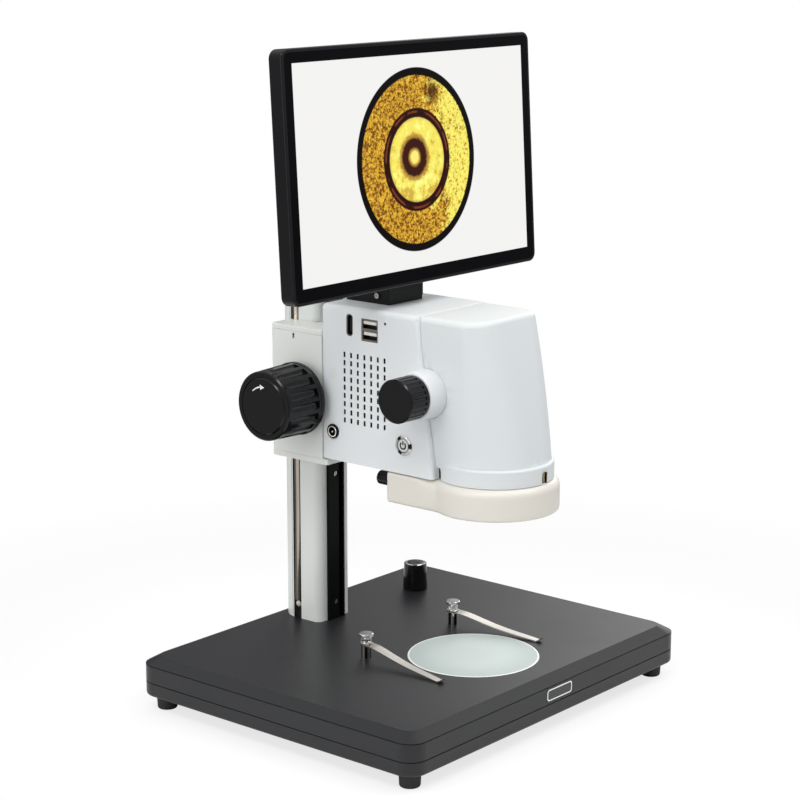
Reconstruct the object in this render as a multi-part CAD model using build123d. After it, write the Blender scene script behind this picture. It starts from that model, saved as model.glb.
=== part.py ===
from build123d import *
import math
import os

# A digital microscope on a track stand. Millimetres, +Z up, the user sits on the -Y side.
# The origin is the centre of the base at the height of the feet's soles.

# ---- driving dimensions: base ----
base_width = 312.0
base_depth = 257.0
base_corner_radius = 13.5
deck_corner_radius = 9.5
base_wall = 2.5
base_top_thickness = 3.5
foot_height = 11.0
foot_radius = 7.8
foot_sole_radius = 7.1
foot_inset = 14.5
foot_sole_round = 1.4
lower_shell_height = 10.9
upper_side_height = 12.7
bevel_height = 5.4
bevel_width = 8.6
seam_groove_height = 0.7
bevel_groove_height = 0.6
groove_depth = 0.8
post_inset = 38.0
post_radius = 5.0

# ---- driving dimensions: stage ----
stage_radius = 47.5
stage_thickness = 5.0
stage_y = -55.4
stage_ledge = 4.0
stage_gap = 0.15
lamp_board_thickness = 1.6
clip_post_x = 49.5
clip_shift_x = -3.5
clip_post_y = 0.5
clip_post_radius = 3.6
clip_stem_radius = 1.6
clip_stem_height = 5.0
clip_blade_height = 9.6
clip_blade_thickness = 0.8
clip_blade_length = 77.0
clip_blade_root_width = 8.4
clip_blade_tip_width = 5.2
clip_lift = 0.3
clip_lip = 1.5
thumb_collar_radius = 4.4
thumb_head_radius = 5.3
thumb_screw_height = 7.7
clip_spread_deg = 5.8
badge_width = 29.0
badge_height = 8.4
badge_thickness = 0.8
badge_proud = 0.1
badge_x = 5.0

# ---- driving dimensions: stage dimmer on the base ----
dimmer_x = 96.5
dimmer_y = 79.0
dimmer_radius = 9.6
dimmer_top_radius = 8.8
dimmer_height = 20.6
dimmer_shaft_radius = 3.0

# ---- driving dimensions: column ----
column_half_width = 18.2
column_front_y = 77.6
column_round_y = 101.0
column_corner_radius = 6.0
column_height = 305.0
column_wall = 3.2
column_cap_height = 4.5
strip_width = 17.4
strip_hole_radius = 2.4
strip_screw_radius = 1.9
strip_screw_sink = 0.9
strip_screw_depth = 8.0
strip_screw_foot = 13.0
strip_screw_pitch = 99.5
strip_thickness = 2.1
rod_radius = 3.2
rod_y = 99.2
rod_proud = 1.0
rod_foot_gap = 14.0
stop_screw_radius = 2.3
bolt_radius = 2.4
bolt_grip = 18.0
bolt_head_height = 4.0

# ---- driving dimensions: rack and pinion drives ----
gear_module = 1.0
focus_pinion_teeth = 20
zoom_pinion_teeth = 12
pinion_width = 4.0
zoom_pinion_width = 7.2
rack_width = 4.4
rack_sink = 4.0
rack_x = 4.9
zoom_rack_width = 8.0
mesh_backlash = 0.2
shaft_radius = 4.0
zoom_shaft_radius = 3.0
shaft_play = 0.05

# ---- driving dimensions: carriage ----
carriage_half_width = 39.5
carriage_back_y = 103.0
carriage_front_y = 53.6
carriage_low_z = 170.7
carriage_high_z = 269.5
carriage_bottom_plate = 4.4
carriage_top_plate = 4.0
bottom_plate_lip = 4.6
shaft_z = 219.0
column_clearance = 0.5
shoe_thickness = 4.2
shoe_height = 16.0
shoe_inset = 4.0
bush_radius = 5.8
bush_setback = 0.8

# ---- driving dimensions: focus knobs ----
knob_gap = 6.9
knob_flange_radius = 26.7
knob_end_radius = 25.1
knob_length = 36.5
knob_flange_width = 4.2
knob_flutes = 18
knob_flute_radius = 3.4
knob_flute_depth = 1.3
tension_cap_radius = 20.6
tension_cap_height = 2.6

# ---- driving dimensions: head ----
head_half_width = 40.5
head_low_z = 176.6
head_high_z = 290.0
head_wall = 2.5
head_edge_radius = 4.0
head_front_low_y = -49.5
head_front_high_y = -36.0
optic_y = -73.6
cover_half_low = 39.3
cover_half_mid = 38.6
cover_half_high = 38.0
cover_corner_low = 38.2
cover_corner_mid = 29.0
cover_corner_high = 17.0
cover_front_low = -113.4
cover_front_mid = -102.6
cover_front_high = -86.0
cover_shoulder = 4.5
rim_radius = 41.2
rim_height = 12.6
rim_notch_width = 3.2
rim_notch_depth = 4.0
front_notch_deg = -84.0
rear_notch_deg = 148.0
rim_notch_height = 8.0
parting_gap = 0.2

# ---- driving dimensions: side panel ----
vent_columns = 7
vent_rows = 9
vent_pitch_y = 6.22
vent_pitch_z = 5.96
vent_width = 1.9
vent_length = 3.8
vent_centre_y = 12.3
vent_centre_z = 231.4
hdmi_y = 26.0
hdmi_z = 277.0
hdmi_width = 5.6
hdmi_length = 15.2
hdmi_corner = 2.2
usb_y = 7.4
usb_z = 275.2
usb_width = 14.8
usb_length = 15.6
usb_corner = 0.5
port_wall = 0.5
port_clearance = 0.25
jack_y = 41.8
jack_z = 197.8
jack_radius = 5.3
jack_bore_radius = 2.8
jack_pin_radius = 1.0
button_y = -24.2
button_z = 197.5
button_radius = 4.8
bezel_radius = 7.1
board_x = -33.0
board_thickness = 1.6
board_half_length = 31.5
board_foot_gap = 8.0
chip_height = 1.6
large_chip = 12.0
small_chip = 8.0

# ---- driving dimensions: zoom drive ----
zoom_y = -43.0
zoom_z = 237.0
boss_base_radius = 17.8
boss_face_radius = 16.6
boss_face_x = 53.4
zoom_knob_gap = 0.5
zoom_knob_radius = 15.4
zoom_knob_length = 19.0
zoom_knob_ribs = 24
zoom_knob_rib_radius = 1.1
tube_radius = 22.0
tube_wall = 2.0
tube_low_z = 178.0
tube_step_z = 246.0
tube_high_z = 261.0
tube_top_radius = 14.0
lens_cell_height = 14.0
lens_cell_low_z = 209.0
lens_lug_inset = 2.0
zoom_travel_down = 12.0
zoom_rack_length = 46.0
objective_thickness = 3.0

# ---- driving dimensions: ring light ----
ring_radius = 45.3
ring_low_z = 153.8
ring_gap = 1.0
ring_tail_half_width = 40.5
ring_tail_y = -7.0
ring_bore_radius = 26.0
ring_wall = 2.2
ring_round = 6.0
ring_shoulder = 5.5
ring_shoulder_run = 24.0
ring_corner_radius = 3.0
ring_lamp_radius = 38.0
ring_knob_x = -34.0
ring_knob_z = 169.2
ring_knob_radius = 5.1
ring_knob_length = 9.5
ring_spindle_radius = 1.7
ring_spindle_reach = 3.0

# ---- driving dimensions: monitor and its hinge ----
hinge_y = 18.2
hinge_z = 296.1
hinge_half_width = 19.5
hinge_front_y = 7.8
hinge_back_y = 49.3
hinge_height = 16.4
hinge_foot_height = 3.2
hinge_foot_inset = 1.2
hinge_pin_radius = 2.0
arm_half_width = 12.0
arm_thickness = 5.0
arm_barrel_radius = 4.6
arm_clearance = 0.4
arm_swing_front = 2.6
arm_swing_back = 11.0
arm_reach = 52.0
monitor_width = 267.0
monitor_height = 169.6
monitor_thickness = 12.3
monitor_corner_radius = 6.5
monitor_centre_y = -2.4
monitor_centre_z = 390.3
monitor_tilt_deg = 3.25
monitor_edge = 2.4
side_border = 9.75
top_border = 9.4
bottom_border = 11.2
glass_thickness = 1.6
panel_thickness = 3.6
panel_margin = 2.0
bulge_width = 150.0
bulge_height = 92.0
bulge_depth = 9.0
monitor_wall = 2.0

# ---- levels worked out from the sizes above ----
seam_z = foot_height + lower_shell_height
bevel_z = seam_z + upper_side_height
deck_z = bevel_z + bevel_height
column_top_z = deck_z + column_height
column_back_y = column_round_y + column_half_width
strip_front_y = column_front_y - strip_thickness
rod_x = column_half_width + rod_proud - rod_radius
shoe_back_x = column_half_width + column_clearance + shoe_thickness
focus_pitch_radius = gear_module * focus_pinion_teeth / 2
zoom_pitch_radius = gear_module * zoom_pinion_teeth / 2
rack_pitch_y = strip_front_y + rack_sink + gear_module
shaft_y = rack_pitch_y - focus_pitch_radius
zoom_rack_pitch_y = zoom_y - zoom_pitch_radius
knob_inner_x = carriage_half_width + knob_gap
block_low_z = carriage_low_z + carriage_bottom_plate
block_high_z = carriage_high_z - carriage_top_plate
zoom_knob_x = boss_face_x + zoom_knob_gap
rim_top_z = head_low_z + rim_height


def block(x_range, y_range, z_range):
    """A plain box between two values on each axis."""
    size = [high - low for low, high in (x_range, y_range, z_range)]
    middle = [(high + low) / 2 for low, high in (x_range, y_range, z_range)]
    return Pos(*middle) * Box(*size)


def rod_z(radius, x, y, z_low, z_high):
    """A round bar standing along Z."""
    height = z_high - z_low
    return Pos(x, y, (z_low + z_high) / 2) * Cylinder(radius, height)


def rod_x_axis(radius, y, z, x_low, x_high):
    """A round bar lying along X."""
    return Pos((x_low + x_high) / 2, y, z) * Rot(0, 90, 0) * Cylinder(radius, x_high - x_low)


def rod_y_axis(radius, x, z, y_low, y_high):
    """A round bar lying along Y."""
    return Pos(x, (y_low + y_high) / 2, z) * Rot(90, 0, 0) * Cylinder(radius, y_high - y_low)


def cone_x(radius_low, radius_high, y, z, x_low, x_high):
    """A round taper lying along X, with a radius at each end."""
    middle = Pos((x_low + x_high) / 2, y, z)
    return middle * Rot(0, 90, 0) * Cone(radius_low, radius_high, x_high - x_low)


def rounded_slab(width, depth, radius, z_low, z_high):
    """A slab with rounded upright corners, centred on the Z axis."""
    return Pos(0, 0, z_low) * extrude(RectangleRounded(width, depth, radius), z_high - z_low)


def mirrored_x(piece):
    """The piece's twin on the other side of the YZ plane."""
    return mirror(piece, about=Plane.YZ)


def share_of(low, high, share):
    """The value a given share of the way from low to high."""
    return low + (high - low) * share


def post_x(side):
    """Where the clip post on the left (-1) or right (+1) stands."""
    return clip_shift_x + side * clip_post_x


# ---- base ----
def base_corners(inset):
    """The four corner points of the base, moved in from both edges."""
    x = base_width / 2 - inset
    y = base_depth / 2 - inset
    return [(-x, -y), (x, -y), (-x, y), (x, y)]


def edge_groove(z_low, z_high):
    """A shallow groove right round the base's edge, between two levels."""
    around = rounded_slab(base_width + 2, base_depth + 2, base_corner_radius + 1, z_low, z_high)
    return around - rounded_slab(
        base_width - 2 * groove_depth, base_depth - 2 * groove_depth,
        base_corner_radius - groove_depth, z_low, z_high
    )


def seat_ring(radius, z_low, z_high):
    """A disc under the stage, centred on the stage."""
    return rod_z(radius, 0, stage_y, z_low, z_high)


column_bolt_places = [
    (side * (column_half_width - 7.5), y)
    for side in (-1, 1)
    for y in (column_front_y + 9.5, column_round_y + 5.0)
]


def base_top_cover():
    """The deck: a bevelled shell with a stage seat and a solid pad under the column."""
    outer = rounded_slab(base_width, base_depth, base_corner_radius, seam_z, bevel_z)
    rim_face = RectangleRounded(base_width, base_depth, base_corner_radius)
    deck_face = RectangleRounded(
        base_width - 2 * bevel_width, base_depth - 2 * bevel_width, deck_corner_radius
    )
    outer += loft([Pos(0, 0, bevel_z) * rim_face, Pos(0, 0, deck_z) * deck_face], ruled=True)
    outer -= edge_groove(bevel_z - bevel_groove_height, bevel_z)
    under_deck_z = deck_z - base_top_thickness
    inner_inset = 2 * (bevel_width + base_wall)
    inner = rounded_slab(
        base_width - 2 * base_wall, base_depth - 2 * base_wall,
        base_corner_radius - base_wall, seam_z, bevel_z - base_wall
    )
    inner += rounded_slab(
        base_width - inner_inset, base_depth - inner_inset,
        base_corner_radius - base_wall, bevel_z - base_wall, under_deck_z
    )
    cover = outer - inner
    seat_z = deck_z - stage_thickness
    cover += seat_ring(stage_radius + base_wall, seat_z - base_wall, under_deck_z)
    cover -= seat_ring(stage_radius + stage_gap, seat_z, deck_z)
    cover -= seat_ring(stage_radius - stage_ledge, seam_z, seat_z)
    pad_y = (column_front_y + column_back_y) / 2
    pad_depth = column_back_y - column_front_y
    cover += Pos(0, pad_y, (seam_z + under_deck_z) / 2) * Box(
        2 * column_half_width, pad_depth, under_deck_z - seam_z
    )
    for x, y in column_bolt_places:
        cover -= rod_z(bolt_radius + shaft_play, x, y, seam_z, deck_z)
    for side in (-1, 1):
        post_boss = rod_z(clip_post_radius + base_wall, post_x(side), clip_post_y,
                          under_deck_z - base_wall, under_deck_z)
        cover += post_boss
        cover -= rod_z(clip_post_radius - 1, post_x(side), clip_post_y,
                       under_deck_z - base_wall, deck_z)
    cover -= rod_z(dimmer_shaft_radius + 0.3, dimmer_x, dimmer_y, seam_z, deck_z)
    for x, y in base_corners(post_inset):
        cover += rod_z(post_radius, x, y, seam_z, under_deck_z)
    badge_z = (seam_z + bevel_z) / 2
    cover -= block(
        (badge_x - badge_width / 2 - stage_gap, badge_x + badge_width / 2 + stage_gap),
        (-base_depth / 2, -base_depth / 2 + badge_thickness - badge_proud),
        (badge_z - badge_height / 2 - stage_gap, badge_z + badge_height / 2 + stage_gap),
    )
    return cover


def base_bottom_cover():
    """The tray under the deck, with posts that carry the stage lamp board."""
    outer = rounded_slab(base_width, base_depth, base_corner_radius, foot_height, seam_z)
    sole_edges = outer.edges().group_by(Axis.Z)[0]
    outer = fillet(sole_edges, base_wall)
    outer -= edge_groove(seam_z - seam_groove_height, seam_z)
    tray = outer - rounded_slab(
        base_width - 2 * base_wall, base_depth - 2 * base_wall,
        base_corner_radius - base_wall, foot_height + base_wall, seam_z
    )
    for turn in range(4):
        angle = math.radians(45 + 90 * turn)
        reach = stage_radius - 2.5 * stage_ledge
        tray += rod_z(
            2 * base_wall / 2, reach * math.cos(angle), stage_y + reach * math.sin(angle),
            foot_height + base_wall / 2, seam_z
        )
    for x, y in base_corners(post_inset):
        tray += rod_z(post_radius, x, y, foot_height + base_wall / 2, seam_z)
        tray -= rod_z(base_wall, x, y, foot_height, foot_height + base_wall)
    for x, y in column_bolt_places:
        tray -= rod_z(2 * bolt_radius, x, y, foot_height, foot_height + base_wall)
    return tray


def rubber_feet():
    """Four turned rubber feet with rounded soles."""
    feet = Part()
    for x, y in base_corners(foot_inset):
        foot = Pos(x, y, foot_height / 2) * Cone(foot_sole_radius, foot_radius, foot_height)
        foot = fillet(foot.edges().group_by(Axis.Z)[0], foot_sole_round)
        feet += foot
    return feet


def base_screws():
    """Screws that hold the tray to the deck from below."""
    screws = Part()
    for x, y in base_corners(post_inset):
        screws += rod_z(base_wall - 0.1, x, y, foot_height + 0.3, foot_height + base_wall)
    return screws


def stage_plate():
    """The frosted glass disc, flush with the deck."""
    disc = rod_z(stage_radius, 0, stage_y, deck_z - stage_thickness, deck_z)
    return chamfer(disc.edges(), 0.4)


def stage_lamp_board():
    """The round lamp board under the glass."""
    board = seat_ring(stage_radius - 1.5 * stage_ledge, seam_z, seam_z + lamp_board_thickness)
    lamps = Part()
    for turn in range(12):
        angle = math.radians(30 * turn)
        reach = (stage_radius - 1.5 * stage_ledge) * 0.7
        x = reach * math.cos(angle)
        y = stage_y + reach * math.sin(angle)
        lamps += Pos(x, y, seam_z + lamp_board_thickness + 0.5) * Box(3.5, 3.5, 1.0)
    return board + lamps


def clip_posts():
    """Two chrome posts screwed into the deck."""
    posts = Part()
    under_blade = deck_z + clip_blade_height
    for side in (-1, 1):
        x = post_x(side)
        post = rod_z(clip_post_radius, x, clip_post_y, deck_z, under_blade)
        post = chamfer(post.edges().group_by(Axis.Z)[-1], 0.4)
        post += rod_z(clip_post_radius - 1.05, x, clip_post_y, deck_z - base_top_thickness, deck_z)
        post += rod_z(clip_stem_radius, x, clip_post_y, under_blade - 1, under_blade + clip_stem_height)
        posts += post
    return posts


def badge_plate():
    """A bare rounded plate let into the front edge of the base."""
    badge_z = (seam_z + bevel_z) / 2
    frame = 0.9
    corner = 2.2
    plate = extrude(Plane.XZ * RectangleRounded(badge_width, badge_height, corner), badge_thickness)
    recess_face = RectangleRounded(
        badge_width - 2 * frame, badge_height - 2 * frame, corner - 0.6 * frame
    )
    recess = extrude(Plane.XZ * recess_face, badge_thickness)
    plate -= Pos(0, -0.8 * badge_thickness, 0) * recess
    return Pos(badge_x, -base_depth / 2 + badge_thickness - badge_proud, badge_z) * plate


def dimmer_control():
    """The turning control under the deck that the knob sits on."""
    under_deck_z = deck_z - base_top_thickness
    case_low = foot_height + base_wall + 4
    case = rod_z(8, dimmer_x, dimmer_y, case_low, under_deck_z)
    post = rod_z(dimmer_shaft_radius, dimmer_x, dimmer_y, under_deck_z, deck_z + 1)
    return case + post


def stage_dimmer_knob():
    """The black knob, slightly tapered and finely ribbed."""
    low = deck_z + 1
    high = deck_z + dimmer_height
    knob = Pos(dimmer_x, dimmer_y, (low + high) / 2) * Cone(
        dimmer_radius, dimmer_top_radius, high - low
    )
    ribs = 30
    for turn in range(ribs):
        angle = math.radians(360 / ribs * turn)
        x = dimmer_x + (dimmer_radius + 0.35) * math.cos(angle)
        y = dimmer_y + (dimmer_radius + 0.35) * math.sin(angle)
        knob -= rod_z(0.6, x, y, low, high - 3)
    ring_depth = 1.6
    knob -= rod_z(dimmer_top_radius - 0.6, dimmer_x, dimmer_y, high - ring_depth, high)
    return knob


def stage_dimmer_ring():
    """The bright ring let into the top of the knob."""
    high = deck_z + dimmer_height
    ring = rod_z(dimmer_top_radius - 0.65, dimmer_x, dimmer_y, high - 1.6, high + 0.4)
    ring = chamfer(ring.edges().group_by(Axis.Z)[-1], 0.3)
    return ring - rod_z(dimmer_top_radius - 2.2, dimmer_x, dimmer_y, high - 0.4, high + 0.4)


# ---- stage clips ----
def clip_blade(side):
    """A sprung steel strip that bends down to the deck and turns up at its tip."""
    under = clip_blade_height
    reach = clip_blade_length
    low = clip_lift
    thickness = clip_blade_thickness
    with BuildSketch(Plane.YZ) as strip:
        with BuildLine():
            start = (-reach * 0.12, under)
            knee = (-reach * 0.96, low)
            tip = (-reach, low + clip_lip)
            shoulder = (-reach * 0.2, under)
            slope = (share_of(knee[0], shoulder[0], 0.6), share_of(knee[1], shoulder[1], 0.6))
            Polyline((0, under), start)
            Bezier(start, shoulder, slope, knee)
            Polyline(knee, tip)
            top_side = [(y, z + thickness) for y, z in (tip, knee, slope, shoulder, start)]
            Polyline(tip, top_side[0], top_side[1])
            Bezier(*top_side[1:])
            Polyline(top_side[4], (0, under + thickness), (0, under))
        make_face()
    side_view = extrude(strip.sketch, clip_blade_root_width / 2, both=True)
    with BuildSketch() as plan:
        with BuildLine():
            half_root = clip_blade_root_width / 2
            half_tip = clip_blade_tip_width / 2
            Polyline(
                (-half_root, 0), (half_root, 0), (half_root, -reach * 0.1),
                (half_tip, -reach), (-half_tip, -reach), (-half_root, -reach * 0.1), (-half_root, 0)
            )
        make_face()
    blade = side_view & extrude(plan.sketch, 2 * under)
    eye = Pos(0, 0, under + thickness / 2) * Cylinder(clip_blade_root_width / 2, thickness)
    blade += eye
    blade -= Pos(0, 0, under) * Cylinder(clip_stem_radius + shaft_play, 4 * thickness)
    turn = side * clip_spread_deg
    return Pos(post_x(side), clip_post_y, deck_z) * Rot(0, 0, turn) * blade


def clip_screws():
    """Two thumb screws: a knurled collar, a neck and a flat round head on each post."""
    base = deck_z + clip_blade_height + clip_blade_thickness
    screws = Part()
    for side in (-1, 1):
        x = post_x(side)
        low = base
        screw = Part()
        for share, top_share in ((1.0, 0.1), (0.72, 0.2), (0.86, 0.5), (0.6, 0.7)):
            high = base + top_share * thumb_screw_height
            screw += rod_z(share * thumb_collar_radius, x, clip_post_y, low, high)
            low = high
        head = rod_z(thumb_head_radius, x, clip_post_y, low, base + thumb_screw_height)
        screw += fillet(head.edges(), 0.6)
        stem_top = base - clip_blade_thickness + clip_stem_height
        screws += screw - rod_z(clip_stem_radius + shaft_play, x, clip_post_y, base, stem_top)
    return screws


# ---- column ----
def column_outline(grow):
    """The column's plan: square shoulders in front, half round behind."""
    half = column_half_width + grow
    front = column_front_y - grow
    depth = column_round_y - front
    shape = Pos(0, front + depth / 2) * Rectangle(2 * half, depth)
    shape = fillet(shape.vertices().group_by(Axis.Y)[0], column_corner_radius)
    return shape + Pos(0, column_round_y) * Circle(half)


def column():
    """The extruded column, with a rack slot in front and a rod groove on each side."""
    shape = column_outline(0)
    slot_back_y = rack_pitch_y + 1.25 * gear_module + 3.8
    shape -= Pos(rack_x, (column_front_y + slot_back_y) / 2) * Rectangle(
        rack_width + 2 * shaft_play, slot_back_y - column_front_y
    )
    for side in (-1, 1):
        shape -= Pos(side * rod_x, rod_y) * Circle(rod_radius + 0.02)
        shape -= Pos(side * (rod_x + rod_radius), rod_y) * Rectangle(
            2 * rod_radius, 2 * rod_radius + 1.2
        )
    hollow_half = rod_x - rod_radius - column_wall
    hollow_front = slot_back_y + column_wall
    hollow_back = column_round_y + hollow_half / 2
    shape -= Pos(0, (hollow_front + hollow_back) / 2) * RectangleRounded(
        2 * hollow_half, hollow_back - hollow_front, 3
    )
    for x, y in column_bolt_places:
        shape -= Pos(x, y) * Circle(bolt_radius - 0.3)
    bar = Pos(0, 0, deck_z) * extrude(shape, column_height)
    for z in strip_screw_heights:
        bar -= rod_y_axis(
            0.58 * strip_screw_radius, 0, z, column_front_y, column_front_y + strip_screw_depth
        )
    return bar


strip_screw_heights = [deck_z + strip_screw_foot + strip_screw_pitch * step for step in range(3)]


def column_strip():
    """The black facing on the column's front, slotted beside its screws for the rack."""
    strip = block(
        (-strip_width / 2, strip_width / 2), (strip_front_y, column_front_y),
        (deck_z, column_top_z)
    )
    half_slot = rack_width / 2 + shaft_play
    strip -= block(
        (rack_x - half_slot, rack_x + half_slot), (strip_front_y, column_front_y),
        (deck_z, column_top_z)
    )
    for z in strip_screw_heights:
        strip -= rod_y_axis(strip_hole_radius, 0, z, strip_front_y, column_front_y)
    return strip


def rack_bar(middle_x, width, z_low, z_high, tooth_phase_z, pitch_y, facing):
    """A toothed bar along Z; facing is -1 for teeth towards -Y and +1 for +Y."""
    pitch = math.pi * gear_module
    tip = gear_module
    root = 1.25 * gear_module
    flank = math.tan(math.radians(20))
    half_pitch_gap = pitch / 4 - mesh_backlash / 2
    points = []
    count = int((z_high - z_low) / pitch) - 1
    first = tooth_phase_z - pitch * int((tooth_phase_z - z_low) / pitch)
    points.append((pitch_y - facing * root, z_low))
    for step in range(count + 1):
        z = first + pitch * step
        if z - pitch / 2 <= z_low or z + pitch / 2 >= z_high:
            continue
        points.append((pitch_y - facing * root, z - half_pitch_gap - root * flank))
        points.append((pitch_y + facing * tip, z - half_pitch_gap + tip * flank))
        points.append((pitch_y + facing * tip, z + half_pitch_gap - tip * flank))
        points.append((pitch_y - facing * root, z + half_pitch_gap + root * flank))
    points.append((pitch_y - facing * root, z_high))
    back = pitch_y - facing * (root + 3.7)
    points.append((back, z_high))
    points.append((back, z_low))
    outline = Plane.YZ * make_face(Polyline(*points, close=True))
    return Pos(middle_x, 0, 0) * extrude(outline, width / 2, both=True)


def focus_rack():
    """The long rack, sunk in the column's slot."""
    return rack_bar(
        rack_x, rack_width, deck_z + 1, column_top_z - 1, shaft_z, rack_pitch_y, -1
    )


def guide_rods():
    """Two ground steel rods in the column's side grooves."""
    rods = Part()
    for side in (-1, 1):
        rods += rod_z(rod_radius, side * rod_x, rod_y, deck_z + rod_foot_gap, column_top_z - 3)
    return rods


def column_screws():
    """The screws that hold the front strip, and a stop screw under the foot of each rod."""
    head_y = strip_front_y + strip_screw_sink
    shank_end = column_front_y + strip_screw_depth - 0.2
    screws = Part()
    for z in strip_screw_heights:
        head = rod_y_axis(strip_screw_radius, 0, z, head_y, column_front_y)
        slot = (z - strip_screw_radius, z + strip_screw_radius)
        head -= block((-0.35, 0.35), (head_y, head_y + 0.6), slot)
        shank = rod_y_axis(0.56 * strip_screw_radius, 0, z, column_front_y, shank_end)
        screws += head + shank
    stop_z = deck_z + rod_foot_gap - stop_screw_radius - 1
    shank_x = rod_x - math.sqrt(rod_radius ** 2 - stop_screw_radius ** 2) + 0.05
    stop = rod_x_axis(stop_screw_radius, rod_y, stop_z, shank_x, rod_x + 1.2)
    stop += rod_x_axis(0.4 * stop_screw_radius, rod_y, stop_z, rod_x - rod_radius + 0.1, shank_x)
    return screws + stop + mirrored_x(stop)


def column_cap():
    """The moulded cap on the column's top."""
    face = column_outline(0)
    cap = Pos(0, 0, column_top_z) * extrude(face, column_cap_height)
    return fillet(cap.edges().group_by(Axis.Z)[-1], 1.5)


def column_bolts():
    """Four bolts from below through the pad into the column."""
    bolts = Part()
    head_z = seam_z - bolt_head_height
    for x, y in column_bolt_places:
        bolts += rod_z(bolt_radius + 1.6, x, y, head_z, seam_z)
        bolts += rod_z(bolt_radius - 0.35, x, y, seam_z, deck_z + bolt_grip)
    return bolts


# ---- carriage ----
def column_way(half, z_low, z_high):
    """The space the column and its front strip pass through, open at the back."""
    way = block(
        (-half, half), (column_front_y - column_clearance, carriage_back_y + 1), (z_low, z_high)
    )
    strip_half = strip_width / 2 + column_clearance
    return way + block(
        (-strip_half, strip_half), (strip_front_y - column_clearance, column_front_y),
        (z_low, z_high)
    )


def carriage_block():
    """The cast block that slides on the column and carries the head."""
    body = block(
        (-carriage_half_width, carriage_half_width), (carriage_front_y, carriage_back_y),
        (block_low_z, block_high_z)
    )
    body = fillet(body.edges().filter_by(Axis.Z).group_by(Axis.Y)[-1], 2.0)
    body -= column_way(shoe_back_x, block_low_z - 1, block_high_z + 1)
    body -= rod_x_axis(
        bush_radius, shaft_y, shaft_z, -carriage_half_width - 1, carriage_half_width + 1
    )
    pocket = focus_pitch_radius + gear_module + 1.2
    body -= block(
        (rack_x - pinion_width / 2 - 1.5, rack_x + pinion_width / 2 + 1.5),
        (shaft_y - pocket, shaft_y + pocket), (shaft_z - pocket, shaft_z + pocket)
    )
    set_screw_y = carriage_back_y - 22
    set_screw_z = block_high_z - 2.1 - 0.5 * carriage_top_plate
    body -= rod_x_axis(1.1, set_screw_y, set_screw_z, -carriage_half_width - 1, -carriage_half_width + 6)
    return body


def carriage_plate(z_low, z_high, front_y):
    """An end plate of the carriage, cut close round the column."""
    plate = block(
        (-carriage_half_width, carriage_half_width), (front_y, carriage_back_y), (z_low, z_high)
    )
    plate = fillet(plate.edges().filter_by(Axis.Z), 2.0)
    plate = chamfer(plate.faces().sort_by(Axis.Z)[0].edges(), 0.5)
    plate = chamfer(plate.faces().sort_by(Axis.Z)[-1].edges(), 0.5)
    plate -= column_way(column_half_width + column_clearance, z_low - 1, z_high + 1)
    for side in (-1, 1):
        plate -= rod_z(rod_radius + column_clearance, side * rod_x, rod_y, z_low - 1, z_high + 1)
    return plate


plate_screw_places = [
    (side * (carriage_half_width - 7.0), y)
    for side in (-1, 1)
    for y in (carriage_front_y + 9.0, carriage_back_y - 9.0)
]


def carriage_top_plate_piece():
    """The upper end plate, behind the head."""
    return carriage_plate(block_high_z, carriage_high_z, carriage_front_y + 0.2)


def carriage_bottom_plate_piece():
    """The lower end plate, which reaches a little under the head."""
    plate = carriage_plate(carriage_low_z, block_low_z, carriage_front_y - bottom_plate_lip)
    if head_low_z < block_low_z:
        plate -= block(
            (-head_half_width, head_half_width),
            (carriage_front_y - 2 * bottom_plate_lip, carriage_front_y),
            (head_low_z, block_low_z)
        )
    for x, y in plate_screw_places:
        plate -= rod_z(2.9, x, y, carriage_low_z - 1, carriage_low_z + 2.2)
    return plate


def plate_screws():
    """Screws that hold the lower end plate, sunk in its underside."""
    screws = Part()
    for x, y in plate_screw_places:
        head = rod_z(2.8, x, y, carriage_low_z + 0.3, carriage_low_z + 2.2)
        head -= rod_z(1.3, x, y, carriage_low_z, carriage_low_z + 1.4)
        screws += head
    return screws


def guide_shoes():
    """Four grooved shoes in the carriage that run on the guide rods."""
    shoes = Part()
    half_depth = rod_radius + 2.0
    for z in (block_low_z + shoe_inset, block_high_z - shoe_inset - shoe_height):
        shoe = block(
            (shoe_back_x - shoe_thickness, shoe_back_x), (rod_y - half_depth, rod_y + half_depth),
            (z, z + shoe_height)
        )
        shoe -= rod_z(rod_radius + shaft_play, rod_x, rod_y, z - 1, z + shoe_height + 1)
        shoes += shoe
        shoes += mirrored_x(shoe)
    return shoes


def shaft_bushes():
    """Two bronze bushes for the focus shaft."""
    inner_end = rack_x + pinion_width / 2 + 1.5 + bush_setback
    outer = rod_x_axis(bush_radius, shaft_y, shaft_z, inner_end, carriage_half_width + 0.6)
    bush = outer - rod_x_axis(
        shaft_radius + shaft_play, shaft_y, shaft_z, 0, carriage_half_width + 2
    )
    return Part() + bush + mirrored_x(bush)


# ---- focus drive ----
def pinion(teeth, width, x, y, z, turn_deg):
    """A straight-cut pinion along X, with a gap or tooth set by the turn."""
    pitch_radius = gear_module * teeth / 2
    pitch_half = math.pi / (2 * teeth)
    tooth_side = [
        (pitch_radius - 1.25 * gear_module, 1.5 * pitch_half),
        (pitch_radius, 0.86 * pitch_half),
        (pitch_radius + 0.9 * gear_module, 0.28 * pitch_half),
    ]
    profile = []
    for tooth in range(teeth):
        middle = 2 * math.pi * tooth / teeth + math.radians(turn_deg)
        profile += [(radius, middle - half) for radius, half in tooth_side]
        profile += [(radius, middle + half) for radius, half in reversed(tooth_side)]
    points = [(r * math.cos(a), r * math.sin(a)) for r, a in profile]
    face = Plane.YZ * make_face(Polyline(*points, close=True))
    return Pos(x, y, z) * extrude(face, width / 2, both=True)


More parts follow.
